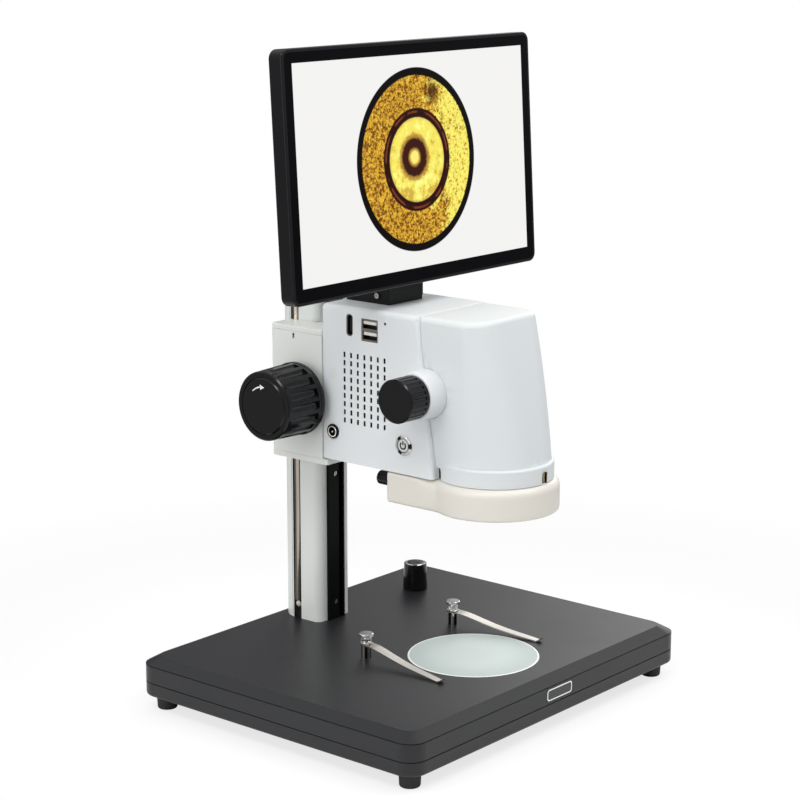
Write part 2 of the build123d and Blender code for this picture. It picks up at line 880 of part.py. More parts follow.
def focus_pinion_shaft():
    """The steel shaft with its pinion, right across the carriage."""
    half = knob_inner_x + knob_length * 0.6
    shaft = rod_x_axis(shaft_radius, shaft_y, shaft_z, -half, half)
    gap_towards_rack = 180 / focus_pinion_teeth
    return shaft + pinion(
        focus_pinion_teeth, pinion_width, rack_x, shaft_y, shaft_z, gap_towards_rack
    )


def focus_knobs():
    """Two fluted black knobs, each with a smooth flange towards the carriage."""
    inner = knob_inner_x
    outer = inner + knob_length
    flange_end = inner + knob_flange_width
    knob = rod_x_axis(knob_flange_radius, shaft_y, shaft_z, inner, flange_end)
    knob = fillet(knob.edges(), 1.2)
    knob += cone_x(knob_flange_radius - 0.5, knob_end_radius, shaft_y, shaft_z, flange_end - 1, outer)
    knob = chamfer(knob.edges().group_by(Axis.X)[-1], 0.9)
    for flute in range(knob_flutes):
        angle = 2 * math.pi * flute / knob_flutes
        reach = knob_end_radius + knob_flute_radius - knob_flute_depth + 0.4
        y = shaft_y + reach * math.cos(angle)
        z = shaft_z + reach * math.sin(angle)
        knob -= rod_x_axis(knob_flute_radius, y, z, flange_end + 1.5, outer - 3.5)
    knob -= rod_x_axis(
        tension_cap_radius + 0.3, shaft_y, shaft_z, outer - tension_cap_height, outer + 1
    )
    bore_end = inner + knob_length * 0.6
    knob -= rod_x_axis(shaft_radius, shaft_y, shaft_z, inner - 1, bore_end)
    return Part() + knob + mirrored_x(knob)


def knob_caps():
    """The round caps in the focus knobs' ends."""
    outer = knob_inner_x + knob_length
    cap = rod_x_axis(
        tension_cap_radius, shaft_y, shaft_z, outer - tension_cap_height + 0.1, outer + 0.6
    )
    cap = chamfer(cap.edges().group_by(Axis.X)[-1], 0.8)
    return Part() + cap + mirrored_x(cap)


# ---- head housing and cover ----
def border_y(z):
    """Where the housing ends and the front cover begins, at a height."""
    share = (z - head_low_z) / (head_high_z - head_low_z)
    return share_of(head_front_low_y, head_front_high_y, share)


def behind_border(offset):
    """Everything on the +Y side of the sloping border plane, moved by an offset."""
    low = head_low_z - 20
    high = head_high_z + 20
    far = carriage_back_y + 50
    face = Plane.YZ * make_face(Polyline(
        (border_y(low) + offset, low), (border_y(high) + offset, high),
        (far, high), (far, low), close=True
    ))
    return extrude(face, head_half_width + 20, both=True)


def cover_outline(z, half, corner, front, back, inset):
    """The cover's plan at one height: a front with two round corners and easing sides."""
    half = half - inset
    corner = max(corner - inset, 1.0)
    front = front + inset
    back_half, back_y = back
    back_half = back_half - inset
    with BuildSketch(Plane.XY.offset(z)) as sketch:
        with BuildLine():
            left_side = Bezier((-back_half, back_y), (-half, (front + corner + back_y) / 2),
                               (-half, front + corner))
            left_arc = RadiusArc((-half, front + corner), (-half + corner, front), -corner)
            Line((-half + corner, front), (half - corner, front))
            RadiusArc((half - corner, front), (half, front + corner), -corner)
            Bezier((half, front + corner), (half, (front + corner + back_y) / 2),
                   (back_half, back_y))
            Line((back_half, back_y), (-back_half, back_y))
        make_face()
    return sketch.sketch


def cover_form(inset):
    """The front cover as a solid, shrunk by an inset and running back into the housing."""
    low = head_low_z
    high = head_high_z - inset
    middle = (head_low_z + head_high_z) / 2
    top_share = (high - middle) / (head_high_z - middle)
    low_back = (cover_half_low * 0.76, head_front_low_y + 8)
    mid_back = (cover_half_mid - 1.2, border_y(middle) + 8)
    high_back = (cover_half_high - 0.3, head_front_high_y + 8)
    sections = [
        cover_outline(low, cover_half_low, cover_corner_low, cover_front_low, low_back, inset),
        cover_outline(middle, cover_half_mid, cover_corner_mid, cover_front_mid, mid_back, inset),
        cover_outline(
            high, share_of(cover_half_mid, cover_half_high, top_share),
            share_of(cover_corner_mid, cover_corner_high, top_share),
            share_of(cover_front_mid, cover_front_high, top_share), high_back, inset
        ),
    ]
    return loft(sections)


notch_angles = [front_notch_deg, rear_notch_deg, 180 - rear_notch_deg]


def notch_centre(angle_deg, radius):
    """A point on the rim at an angle about the optical axis."""
    angle = math.radians(angle_deg)
    return radius * math.cos(angle), optic_y + radius * math.sin(angle)


def boss(grow):
    """The round bosses for the zoom knobs, on both sides."""
    base_x = head_half_width - head_wall - 4
    base_radius = boss_base_radius + grow
    side = cone_x(base_radius, boss_face_radius + grow, zoom_y, zoom_z, base_x, boss_face_x)
    if grow == 0:
        side = fillet(side.edges().group_by(Axis.X)[-1], 1.0)
    return Part() + side + mirrored_x(side)


def head_housing():
    """The moulded rear housing with the connector panel, vents and zoom bosses."""
    shell = block(
        (-head_half_width, head_half_width), (head_front_low_y - 20, carriage_front_y),
        (head_low_z, head_high_z)
    )
    shell &= behind_border(0)
    upright = shell.edges().filter_by(Axis.Z)
    top = shell.edges().group_by(Axis.Z)[-1]
    shell = fillet(upright + top, head_edge_radius)
    front_edges = [
        edge for edge in shell.edges()
        if abs(edge.center().X) > head_half_width - 1 and edge.center().Y < head_front_high_y
        and edge.length > (head_high_z - head_low_z) * 0.6
    ]
    shell = fillet(front_edges, head_edge_radius * 0.8)
    inner = block(
        (-head_half_width + head_wall, head_half_width - head_wall),
        (head_front_low_y - 20, carriage_front_y - head_wall),
        (head_low_z - 1, head_high_z - head_wall)
    )
    shell -= inner & behind_border(head_wall + 0.8)
    shell += boss(0)
    shell -= cover_form(head_wall + 0.4)
    x_skin = (-head_half_width - 1, -head_half_width + head_wall + 1)
    for column_step in range(vent_columns):
        for row in range(vent_rows):
            y = vent_centre_y + (column_step - (vent_columns - 1) / 2) * vent_pitch_y
            z = vent_centre_z + (row - (vent_rows - 1) / 2) * vent_pitch_z
            shell -= block(
                x_skin, (y - vent_width / 2, y + vent_width / 2),
                (z - vent_length / 2, z + vent_length / 2)
            )
    shell -= port_form(hdmi_y, hdmi_z, hdmi_width, hdmi_length, port_clearance, x_skin, hdmi_corner)
    shell -= port_form(usb_y, usb_z, usb_width, usb_length, port_clearance, x_skin, usb_corner)
    shell -= rod_x_axis(jack_radius * 0.75, jack_y, jack_z, *x_skin)
    shell -= rod_x_axis(bezel_radius - 1.4, button_y, button_z, *x_skin)
    shell -= rod_x_axis(
        zoom_shaft_radius + 0.4, zoom_y, zoom_z, -boss_face_x - 1, boss_face_x + 1
    )
    return shell


def head_cover():
    """The raked front cover with its round rim."""
    outer = cover_form(0)
    top_edges = [e for e in outer.edges().group_by(Axis.Z)[-1] if e.center().Y < head_front_high_y]
    outer = fillet(top_edges, cover_shoulder)
    rim = rod_z(rim_radius, 0, optic_y, head_low_z, rim_top_z)
    rim = fillet(rim.edges().group_by(Axis.Z)[-1], 1.6)
    outer += rim
    cover = outer - cover_form(head_wall) - rod_z(
        rim_radius - 2 * head_wall, 0, optic_y, head_low_z - 1, rim_top_z - head_wall
    )
    cover -= behind_border(-parting_gap)
    cover -= boss(parting_gap)
    for angle in notch_angles:
        x, y = notch_centre(angle, rim_radius)
        notch = Pos(x, y, head_low_z + rim_notch_height / 2) * Rot(0, 0, angle) * Box(
            2 * rim_notch_depth, rim_notch_width, rim_notch_height
        )
        cover -= notch
    return Compound(children=[cover.solids().sort_by(SortBy.VOLUME)[-1]])


def cover_screws():
    """Brass screws that show in the notches of the rim."""
    screws = Part()
    for angle in notch_angles:
        x, y = notch_centre(angle, rim_radius - rim_notch_depth + 1.6)
        screws += rod_z(1.1, x, y, head_low_z + 0.8, head_low_z + rim_notch_height)
    return screws


def head_base_plate():
    """The plate that closes the head from below, with a hole for the lens tube."""
    low = head_low_z
    high = head_low_z + head_wall
    gap = 0.15
    plate = block(
        (-head_half_width + head_wall + gap, head_half_width - head_wall - gap),
        (head_front_low_y + head_wall + 1.2, carriage_front_y - head_wall - gap), (low, high)
    )
    disc = rod_z(rim_radius - 2 * head_wall - gap, 0, optic_y, low, high)
    neck = cover_half_low * 0.76 - head_wall - 1.5
    bridge = block((-neck, neck), (optic_y, head_front_low_y + 10), (low, high))
    plate = plate + disc + bridge
    return plate - rod_z(tube_radius + gap, 0, optic_y, low - 1, high + 1)


def port_form(y, z, width, length, grow, x_range, corner):
    """A rounded block that stands for a port or its opening."""
    radius = min(corner + grow, width / 2 + grow - 0.05)
    face = RectangleRounded(width + 2 * grow, length + 2 * grow, radius)
    plane = Plane(origin=(x_range[0], y, z), x_dir=(0, 1, 0), z_dir=(1, 0, 0))
    return plane * extrude(face, x_range[1] - x_range[0])


def main_board():
    """The circuit board behind the connector panel, with chips on it."""
    half = board_thickness / 2
    low_y = vent_centre_y - board_half_length
    high_y = vent_centre_y + board_half_length
    low_z = jack_z + board_foot_gap
    high_z = head_high_z - head_wall - 0.3
    board = block((board_x - half, board_x + half), (low_y, high_y), (low_z, high_z))
    for share_y, share_z, size in (
        (0.78, 0.24, large_chip), (0.14, 0.6, small_chip), (0.85, 0.52, small_chip)
    ):
        y = share_of(low_y, high_y, share_y)
        z = share_of(low_z, high_z, share_z)
        board += block(
            (board_x - half - chip_height, board_x - half), (y - size / 2, y + size / 2),
            (z - size / 2, z + size / 2)
        )
    return board


def hdmi_port():
    """The slim video socket: a steel shell with a tongue."""
    back = board_x - board_thickness / 2
    x_range = (-head_half_width + 0.4, back)
    port = port_form(hdmi_y, hdmi_z, hdmi_width, hdmi_length, 0, x_range, hdmi_corner)
    cavity = (x_range[0] - 1, back - 1.5)
    port -= port_form(
        hdmi_y, hdmi_z, hdmi_width - 2 * port_wall, hdmi_length - 2 * port_wall, 0, cavity,
        hdmi_corner - port_wall
    )
    port += block(
        (x_range[0] + 1.2, back - 1), (hdmi_y - 0.5, hdmi_y + 0.5),
        (hdmi_z - hdmi_length * 0.33, hdmi_z + hdmi_length * 0.33)
    )
    return port


def usb_port():
    """The stacked data socket: two openings with tongues in one steel shell."""
    back = board_x - board_thickness / 2
    x_range = (-head_half_width + 0.3, back)
    port = port_form(usb_y, usb_z, usb_width, usb_length, 0, x_range, usb_corner)
    slot_height = 5.6
    for side in (-1, 1):
        z = usb_z + side * (slot_height / 2 + 1.1)
        slot_width = usb_width - 2 * port_wall - 0.6
        port -= port_form(usb_y, z, slot_width, slot_height, 0, (x_range[0] - 1, back - 1.5), 0.3)
        port += block(
            (x_range[0] + 1.0, back - 1), (usb_y - slot_width * 0.42, usb_y + slot_width * 0.42),
            (z + 0.3, z + 2.2)
        )
    return port


def power_jack():
    """The power inlet: a ring nut outside, a barrel inside and a centre pin."""
    skin = -head_half_width
    nut = rod_x_axis(jack_radius, jack_y, jack_z, skin - 1.6, skin)
    nut = chamfer(nut.edges().group_by(Axis.X)[0], 0.5)
    barrel = rod_x_axis(jack_radius * 0.74, jack_y, jack_z, skin - 1.6, skin + 12)
    jack = nut + barrel
    jack -= rod_x_axis(jack_bore_radius, jack_y, jack_z, skin - 3, skin + 9)
    return jack + rod_x_axis(jack_pin_radius, jack_y, jack_z, skin - 0.6, skin + 10)


def switch_bezel():
    """The chrome surround of the power button, with its barrel inside."""
    skin = -head_half_width
    ring = rod_x_axis(bezel_radius, button_y, button_z, skin - 1.5, skin)
    ring = fillet(ring.edges().group_by(Axis.X)[0], 0.7)
    barrel = rod_x_axis(bezel_radius - 1.5, button_y, button_z, skin - 0.5, skin + 10)
    bezel = ring + barrel
    return bezel - rod_x_axis(button_radius + 0.15, button_y, button_z, skin - 3, skin + 8)


def power_button():
    """The round button cap."""
    skin = -head_half_width
    cap = rod_x_axis(button_radius, button_y, button_z, skin - 1.3, skin + 6)
    return chamfer(cap.edges().group_by(Axis.X)[0], 0.4)


# ---- optics ----
def lens_tube():
    """The upright lens tube, slotted behind for the zoom rack."""
    tube = rod_z(tube_radius, 0, optic_y, tube_low_z, tube_step_z)
    tube += rod_z(tube_top_radius, 0, optic_y, tube_step_z, tube_high_z)
    bore = rod_z(tube_radius - tube_wall, 0, optic_y, tube_low_z - 1, tube_step_z - tube_wall)
    bore += rod_z(
        tube_top_radius - tube_wall, 0, optic_y, tube_step_z - tube_wall - 1, tube_high_z + 1
    )
    tube -= bore
    flange = rod_z(tube_radius + 3, 0, optic_y, head_low_z + head_wall, head_low_z + head_wall + 2)
    flange -= rod_z(tube_radius - 1, 0, optic_y, head_low_z, head_low_z + head_wall + 3)
    tube += flange
    lug_low = lens_cell_low_z + lens_lug_inset
    slot = block(
        (-zoom_rack_width / 2 - 0.5, zoom_rack_width / 2 + 0.5),
        (optic_y + tube_top_radius + 0.5, optic_y + tube_radius + 1),
        (lug_low - zoom_travel_down - 1, tube_step_z)
    )
    return tube - slot


def objective_lens():
    """The front glass of the lens, held in the foot of the tube."""
    low = tube_low_z + 1
    glass = rod_z(tube_radius - tube_wall - 0.05, 0, optic_y, low, low + objective_thickness)
    return chamfer(glass.edges().group_by(Axis.Z)[0], 0.5)


def zoom_lens_group():
    """The moving lens cell with the toothed bar that the zoom pinion drives."""
    cell_radius = tube_radius - tube_wall - shaft_play
    low = lens_cell_low_z
    cell = rod_z(cell_radius, 0, optic_y, low, low + lens_cell_height)
    cell -= rod_z(cell_radius - 5, 0, optic_y, low - 1, low + 4)
    cell -= rod_z(cell_radius - 5, 0, optic_y, low + lens_cell_height - 4, low + lens_cell_height + 1)
    root_y = zoom_rack_pitch_y - 1.25 * gear_module
    bar_back = root_y - 3.7
    lug = block(
        (-zoom_rack_width / 2 + 0.5, zoom_rack_width / 2 - 0.5),
        (optic_y + cell_radius - 4, bar_back + 1),
        (low + lens_lug_inset, low + lens_cell_height - lens_lug_inset)
    )
    bar_low = zoom_z - zoom_rack_length / 2
    bar = rack_bar(
        0, zoom_rack_width - 1, bar_low, bar_low + zoom_rack_length, zoom_z, zoom_rack_pitch_y, 1
    )
    return cell + lug + bar


def camera_module():
    """The camera on top of the lens tube."""
    low = tube_high_z
    case = block((-15, 15), (optic_y - 12.5, optic_y + 15), (low, low + 14))
    case = fillet(case.edges().filter_by(Axis.Z), 1.5)
    board = block((-17, 17), (optic_y - 13, optic_y + 18), (low + 14, low + 15.6))
    return case + board


def zoom_pinion_shaft():
    """The zoom shaft with its pinion, right across the head."""
    half = zoom_knob_x + zoom_knob_length * 0.7
    shaft = rod_x_axis(zoom_shaft_radius, zoom_y, zoom_z, -half, half)
    gap_towards_rack = 180 + 180 / zoom_pinion_teeth
    return shaft + pinion(
        zoom_pinion_teeth, zoom_pinion_width, 0, zoom_y, zoom_z, gap_towards_rack
    )


def zoom_knobs():
    """Two ribbed black zoom knobs."""
    inner = zoom_knob_x
    outer = inner + zoom_knob_length
    knob = rod_x_axis(zoom_knob_radius, zoom_y, zoom_z, inner, outer)
    knob = chamfer(knob.edges().group_by(Axis.X)[-1], 0.8)
    for rib in range(zoom_knob_ribs):
        angle = 2 * math.pi * (rib + 0.5) / zoom_knob_ribs
        reach = zoom_knob_radius + zoom_knob_rib_radius * 0.35
        y = zoom_y + reach * math.cos(angle)
        z = zoom_z + reach * math.sin(angle)
        knob -= rod_x_axis(zoom_knob_rib_radius, y, z, inner + 2.5, outer - 2.0)
    knob -= rod_x_axis(
        zoom_shaft_radius, zoom_y, zoom_z, inner - 1, inner + zoom_knob_length * 0.7
    )
    return Part() + knob + mirrored_x(knob)


# ---- ring light ----
def ring_outline(inset):
    """The lamp's plan: round in front, running back to a square tail."""
    radius = ring_radius - inset
    half = ring_tail_half_width - inset
    tail = ring_tail_y - inset
    shape = Pos(0, optic_y) * Circle(radius)
    shape += Pos(0, (optic_y + tail) / 2) * Rectangle(2 * half, tail - optic_y)
    return fillet(shape.vertices().group_by(Axis.Y)[-1], max(ring_corner_radius - inset, 0.8))


ring_tail_top_z = head_low_z - ring_gap
ring_meets_tail_y = optic_y + math.sqrt(ring_radius ** 2 - ring_tail_half_width ** 2)


def tail_shoulder():
    """The slanted cut that lets the ring's rounded edge run out along the tail."""
    x = ring_tail_half_width
    z = ring_tail_top_z
    near = Plane((0, ring_meets_tail_y - 1, 0), x_dir=(1, 0, 0), z_dir=(0, 1, 0))
    far = Plane((0, ring_meets_tail_y + ring_shoulder_run, 0), x_dir=(1, 0, 0), z_dir=(0, 1, 0))
    faces = []
    for plane, size in ((near, ring_shoulder), (far, 0.2)):
        corners = [(x + 1, -z - 1), (x - size, -z - 1), (x - size, -z), (x, -z + size), (x + 1, -z + size)]
        faces.append(plane * make_face(Polyline(*corners, close=True)))
    return loft(faces, ruled=True)


def ring_light_housing():
    """The cream lamp housing under the head, hollow from below."""
    body = Pos(0, 0, ring_low_z) * extrude(ring_outline(0), ring_tail_top_z - ring_low_z)
    round_part = rod_z(ring_radius, 0, optic_y, ring_low_z + 2, head_low_z - 0.1)
    round_part = fillet(round_part.edges().group_by(Axis.Z)[-1], ring_round)
    ring_only = rod_z(ring_radius + 1, 0, optic_y, ring_tail_top_z - ring_round, head_low_z + 1)
    ring_only &= block(
        (-2 * ring_radius, 2 * ring_radius), (optic_y - 2 * ring_radius, ring_meets_tail_y),
        (ring_low_z, head_low_z + 1)
    )
    body = body - ring_only - tail_shoulder() - mirrored_x(tail_shoulder()) + round_part
    body = fillet(
        [e for e in body.edges().group_by(Axis.Z)[0] if e.length > 20], 1.2
    )
    hollow = Pos(0, 0, ring_low_z - 1) * extrude(
        ring_outline(ring_wall), ring_tail_top_z - ring_wall - ring_low_z - ring_round + 2
    )
    collar = rod_z(ring_bore_radius + ring_wall, 0, optic_y, ring_low_z, head_low_z)
    body -= hollow - collar
    body -= rod_z(ring_bore_radius, 0, optic_y, ring_low_z - 1, head_low_z + 1)
    pivot = ring_tail_y
    body -= rod_y_axis(
        ring_spindle_radius + shaft_play, ring_knob_x, ring_knob_z,
        pivot - ring_wall - ring_spindle_reach - 0.5, pivot + 1
    )
    return body


def ring_light_cover():
    """The cream floor of the lamp with a round window."""
    thickness = 1.6
    plate = Pos(0, 0, ring_low_z + 0.6) * extrude(ring_outline(ring_wall + 0.1), thickness)
    return plate - rod_z(ring_lamp_radius, 0, optic_y, ring_low_z - 1, ring_low_z + 4)


def ring_light_diffuser():
    """The milky ring that the light comes through."""
    low = ring_low_z + 0.6
    ring = rod_z(ring_lamp_radius - 0.1, 0, optic_y, low, low + 1.6)
    return ring - rod_z(ring_bore_radius + ring_wall + 0.1, 0, optic_y, low - 1, low + 3)


def ring_light_board():
    """The lamp board over the diffuser."""
    low = ring_low_z + 2.2
    lamp_height = 1.2
    ring = rod_z(ring_lamp_radius + 1.0, 0, optic_y, low + lamp_height, low + lamp_height + 1.6)
    ring -= rod_z(ring_bore_radius + ring_wall + 0.3, 0, optic_y, low - 1, low + 4)
    reach = (ring_lamp_radius + ring_bore_radius + ring_wall) / 2
    for lamp in range(24):
        angle = 2 * math.pi * lamp / 24
        ring += Pos(
            reach * math.cos(angle), optic_y + reach * math.sin(angle), low + lamp_height / 2
        ) * Box(2.6, 2.6, lamp_height)
    return ring


def ring_light_knob():
    """The small black brightness knob on the lamp's tail."""
    low = ring_tail_y + 0.3
    high = low + ring_knob_length
    knob = rod_y_axis(ring_knob_radius, ring_knob_x, ring_knob_z, low, high)
    knob = fillet(knob.edges().group_by(Axis.Y)[-1], 0.8)
    for rib in range(16):
        angle = 2 * math.pi * rib / 16
        reach = ring_knob_radius + 0.25
        x = ring_knob_x + reach * math.cos(angle)
        z = ring_knob_z + reach * math.sin(angle)
        knob -= rod_y_axis(0.5, x, z, low - 1, high - 1.5)
    spindle_end = ring_tail_y - ring_wall - ring_spindle_reach
    return knob + rod_y_axis(ring_spindle_radius, ring_knob_x, ring_knob_z, spindle_end, low)


# ---- monitor and hinge ----
def in_monitor(piece):
    """Moves a piece from the monitor's own axes to its tilted place."""
    place = Pos(0, monitor_centre_y, monitor_centre_z) * Rot(-monitor_tilt_deg, 0, 0)
    return place * piece


def hinge_in_monitor():
    """The hinge axis in the monitor's own axes, as y and z."""
    dy = hinge_y - monitor_centre_y
    dz = hinge_z - monitor_centre_z
    tilt = math.radians(monitor_tilt_deg)
    return dy * math.cos(tilt) - dz * math.sin(tilt), dy * math.sin(tilt) + dz * math.cos(tilt)


def hinge_box():
    """The black hinge box on top of the head."""
    foot_top = head_high_z + hinge_foot_height
    top = head_high_z + hinge_height
    foot_half = hinge_half_width - hinge_foot_inset
    box = block(
        (-foot_half, foot_half), (hinge_front_y + 0.3, hinge_back_y - 1), (head_high_z, foot_top)
    )
    upper = block(
        (-hinge_half_width, hinge_half_width), (hinge_front_y, hinge_back_y), (foot_top, top)
    )
    upper = fillet(upper.edges().filter_by(Axis.Z), 1.2)
    box += chamfer(upper.edges().group_by(Axis.Z)[-1], 0.6)
    slot_half = arm_half_width + arm_clearance
    floor = hinge_z - arm_barrel_radius - arm_clearance
    front_wall = hinge_y - arm_barrel_radius - arm_clearance - arm_swing_front
    back_wall = hinge_y + arm_barrel_radius + arm_swing_back
    box -= block((-slot_half, slot_half), (front_wall, back_wall), (floor, top + 1))
    box -= rod_x_axis(hinge_pin_radius, hinge_y, hinge_z, -hinge_half_width - 1, hinge_half_width + 1)
    return box


def hinge_pin():
    """The pivot screw through the hinge box, with a head on each side."""
    half = hinge_half_width
    pin = rod_x_axis(hinge_pin_radius, hinge_y, hinge_z, -half, half)
    head = rod_x_axis(hinge_pin_radius + 0.7, hinge_y, hinge_z, half, half + 0.9)
    head -= rod_x_axis(1.0, hinge_y, hinge_z, half + 0.4, half + 2)
    return pin + head + mirrored_x(head)


def monitor_arm():
    """The tilting arm: a barrel on the pivot and a plate up the monitor's back."""
    pivot_y, pivot_z = hinge_in_monitor()
    back = monitor_thickness + bulge_depth
    foot_z = -monitor_height / 2 + 14
    barrel = rod_x_axis(arm_barrel_radius, pivot_y, pivot_z, -arm_half_width, arm_half_width)
    neck_front = pivot_y - arm_thickness / 2
    neck = block(
        (-arm_half_width, arm_half_width), (neck_front, neck_front + arm_thickness),
        (pivot_z, foot_z)
    )
    plate_high = pivot_z + arm_reach
    plate = block(
        (-arm_half_width, arm_half_width), (back, neck_front + arm_thickness),
        (foot_z - 8, plate_high)
    )
    arm = barrel + neck + plate
    arm -= rod_x_axis(
        hinge_pin_radius + shaft_play, pivot_y, pivot_z, -arm_half_width - 1, arm_half_width + 1
    )
    return in_monitor(arm)


def monitor_slab(width, height, radius, y_low, y_high):
    """A rounded slab in the monitor's plane, between two depths."""
    face = Plane.XZ * RectangleRounded(width, height, radius)
    return Pos(0, y_high, 0) * extrude(face, y_high - y_low)


def monitor_frame():
    """The slim outer frame that holds glass, panel and back together."""
    frame = monitor_slab(monitor_width, monitor_height, monitor_corner_radius, 0, monitor_thickness)
    front = frame.edges().group_by(Axis.Y)[0]
    frame = fillet(front, 1.0)
    frame = fillet(frame.edges().group_by(Axis.Y)[-1], 2.0)
    inner_width = monitor_width - 2 * monitor_edge
    inner_height = monitor_height - 2 * monitor_edge
    inner_radius = monitor_corner_radius - monitor_edge
    frame -= monitor_slab(inner_width, inner_height, inner_radius, -1, monitor_thickness + 1)
    return in_monitor(frame)


def monitor_glass():
    """The front glass, black towards its edges."""
    gap = 0.1
    pane = monitor_slab(
        monitor_width - 2 * monitor_edge - 2 * gap, monitor_height - 2 * monitor_edge - 2 * gap,
        monitor_corner_radius - monitor_edge, 0.1, 0.1 + glass_thickness
    )
    return in_monitor(pane)


def screen_width():
    """The lit width of the screen, between the side borders."""
    return monitor_width - 2 * side_border


def screen_height():
    """The lit height of the screen, between the borders above and below."""
    return monitor_height - top_border - bottom_border


def lcd_panel():
    """The display panel behind the glass."""
    front = 0.1 + glass_thickness
    panel = monitor_slab(
        screen_width() + 2 * panel_margin, screen_height() + 2 * panel_margin, 1.0,
        front, front + panel_thickness
    )
    return in_monitor(Pos(0, 0, (bottom_border - top_border) / 2) * panel)


def monitor_board():
    """The display's driver board."""
    low = monitor_thickness - monitor_wall + 1.5
    board = monitor_slab(bulge_width * 0.7, bulge_height * 0.7, 1.0, low, low + 1.6)
    chip = monitor_slab(16, 16, 0.5, low + 1.6, low + 3.2)
    board = board + chip
    for side_x in (-1, 1):
        for side_z in (-1, 1):
            post = monitor_slab(5, 5, 1.0, 0.1 + glass_thickness + panel_thickness, low)
            x = side_x * (bulge_width * 0.35 - 5)
            z = side_z * (bulge_height * 0.35 - 5)
            board += Pos(x, 0, z) * post
    return in_monitor(Pos(0, 0, bulge_drop()) * board)


def bulge_drop():
    """How far the bulge sits below the middle of the back."""
    return -(monitor_height - bulge_height) / 2 + 12


def monitor_back_cover():
    """The back shell, with a shallow bulge over the driver board."""
    gap = 0.1
    width = monitor_width - 2 * monitor_edge - 2 * gap
    height = monitor_height - 2 * monitor_edge - 2 * gap
    radius = monitor_corner_radius - monitor_edge
    back = monitor_slab(width, height, radius, monitor_thickness - monitor_wall, monitor_thickness)
    bulge = monitor_slab(bulge_width, bulge_height, 8, monitor_thickness - monitor_wall,
                         monitor_thickness + bulge_depth)
    bulge = chamfer(bulge.edges().group_by(Axis.Y)[-1], 3.0)
    hollow = monitor_slab(
        bulge_width - 4 * monitor_wall, bulge_height - 4 * monitor_wall, 6,
        monitor_thickness - monitor_wall - 1, monitor_thickness + bulge_depth - monitor_wall
    )
    back += Pos(0, 0, bulge_drop()) * bulge
    back -= Pos(0, 0, bulge_drop()) * hollow
    vents = 14
    for slot in range(vents):
        x = (slot - (vents - 1) / 2) * 7.0
        z = bulge_drop() + bulge_height * 0.3
        back -= block(
            (x - 1.2, x + 1.2),
            (monitor_thickness + bulge_depth - monitor_wall - 1, monitor_thickness + bulge_depth + 1),
            (z - 5, z + 5)
        )
    return in_monitor(back)


def monitor_screws():
    """Four screws that hold the arm's plate to the monitor's back."""
    pivot_y, pivot_z = hinge_in_monitor()
    face = pivot_y + arm_thickness / 2
    screws = Part()
    for side in (-1, 1):
        for share in (0.55, 0.88):
            z = pivot_z + arm_reach * share
            head = rod_y_axis(2.4, side * arm_half_width * 0.55, z, face, face + 1.2)
            head -= rod_y_axis(1.0, side * arm_half_width * 0.55, z, face + 0.4, face + 2)
            screws += head
    return in_monitor(screws)


pieces = {
    "base_top_cover": base_top_cover(),
    "base_bottom_cover": base_bottom_cover(),
    "rubber_feet": rubber_feet(),
    "base_screws": base_screws(),
    "stage_plate": stage_plate(),
    "stage_lamp_board": stage_lamp_board(),
    "clip_posts": clip_posts(),
    "badge_plate": badge_plate(),
    "dimmer_control": dimmer_control(),
    "stage_dimmer_knob": stage_dimmer_knob(),
    "stage_dimmer_ring": stage_dimmer_ring(),
    "left_clip_blade": clip_blade(-1),
    "right_clip_blade": clip_blade(1),
    "clip_screws": clip_screws(),
    "column": column(),
    "column_strip": column_strip(),
    "focus_rack": focus_rack(),
    "guide_rods": guide_rods(),
    "column_screws": column_screws(),
    "column_cap": column_cap(),
    "column_bolts": column_bolts(),
    "carriage_block": carriage_block(),
    "carriage_top_plate": carriage_top_plate_piece(),
    "carriage_bottom_plate": carriage_bottom_plate_piece(),
    "plate_screws": plate_screws(),
    "guide_shoes": guide_shoes(),
    "shaft_bushes": shaft_bushes(),
    "focus_pinion_shaft": focus_pinion_shaft(),
    "focus_knobs": focus_knobs(),
    "knob_caps": knob_caps(),
    "head_housing": head_housing(),
    "head_cover": head_cover(),
    "cover_screws": cover_screws(),
    "head_base_plate": head_base_plate(),
    "main_board": main_board(),
    "hdmi_port": hdmi_port(),
    "usb_port": usb_port(),
    "power_jack": power_jack(),
    "switch_bezel": switch_bezel(),
    "power_button": power_button(),
    "lens_tube": lens_tube(),
    "objective_lens": objective_lens(),
    "zoom_lens_group": zoom_lens_group(),
    "camera_module": camera_module(),
    "zoom_pinion_shaft": zoom_pinion_shaft(),
    "zoom_knobs": zoom_knobs(),
    "ring_light_housing": ring_light_housing(),
    "ring_light_cover": ring_light_cover(),
    "ring_light_diffuser": ring_light_diffuser(),
    "ring_light_board": ring_light_board(),
    "ring_light_knob": ring_light_knob(),
    "hinge_box": hinge_box(),
    "hinge_pin": hinge_pin(),
    "monitor_arm": monitor_arm(),
    "monitor_frame": monitor_frame(),
    "monitor_glass": monitor_glass(),
    "lcd_panel": lcd_panel(),
    "monitor_board": monitor_board(),
    "monitor_back_cover": monitor_back_cover(),
    "monitor_screws": monitor_screws(),
}

os.makedirs("parts", exist_ok=True)
for name, piece in pieces.items():
    export_step(piece, f"parts/{name}.step")
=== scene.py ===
import math

import bmesh
import bpy
from mathutils import Matrix, Vector


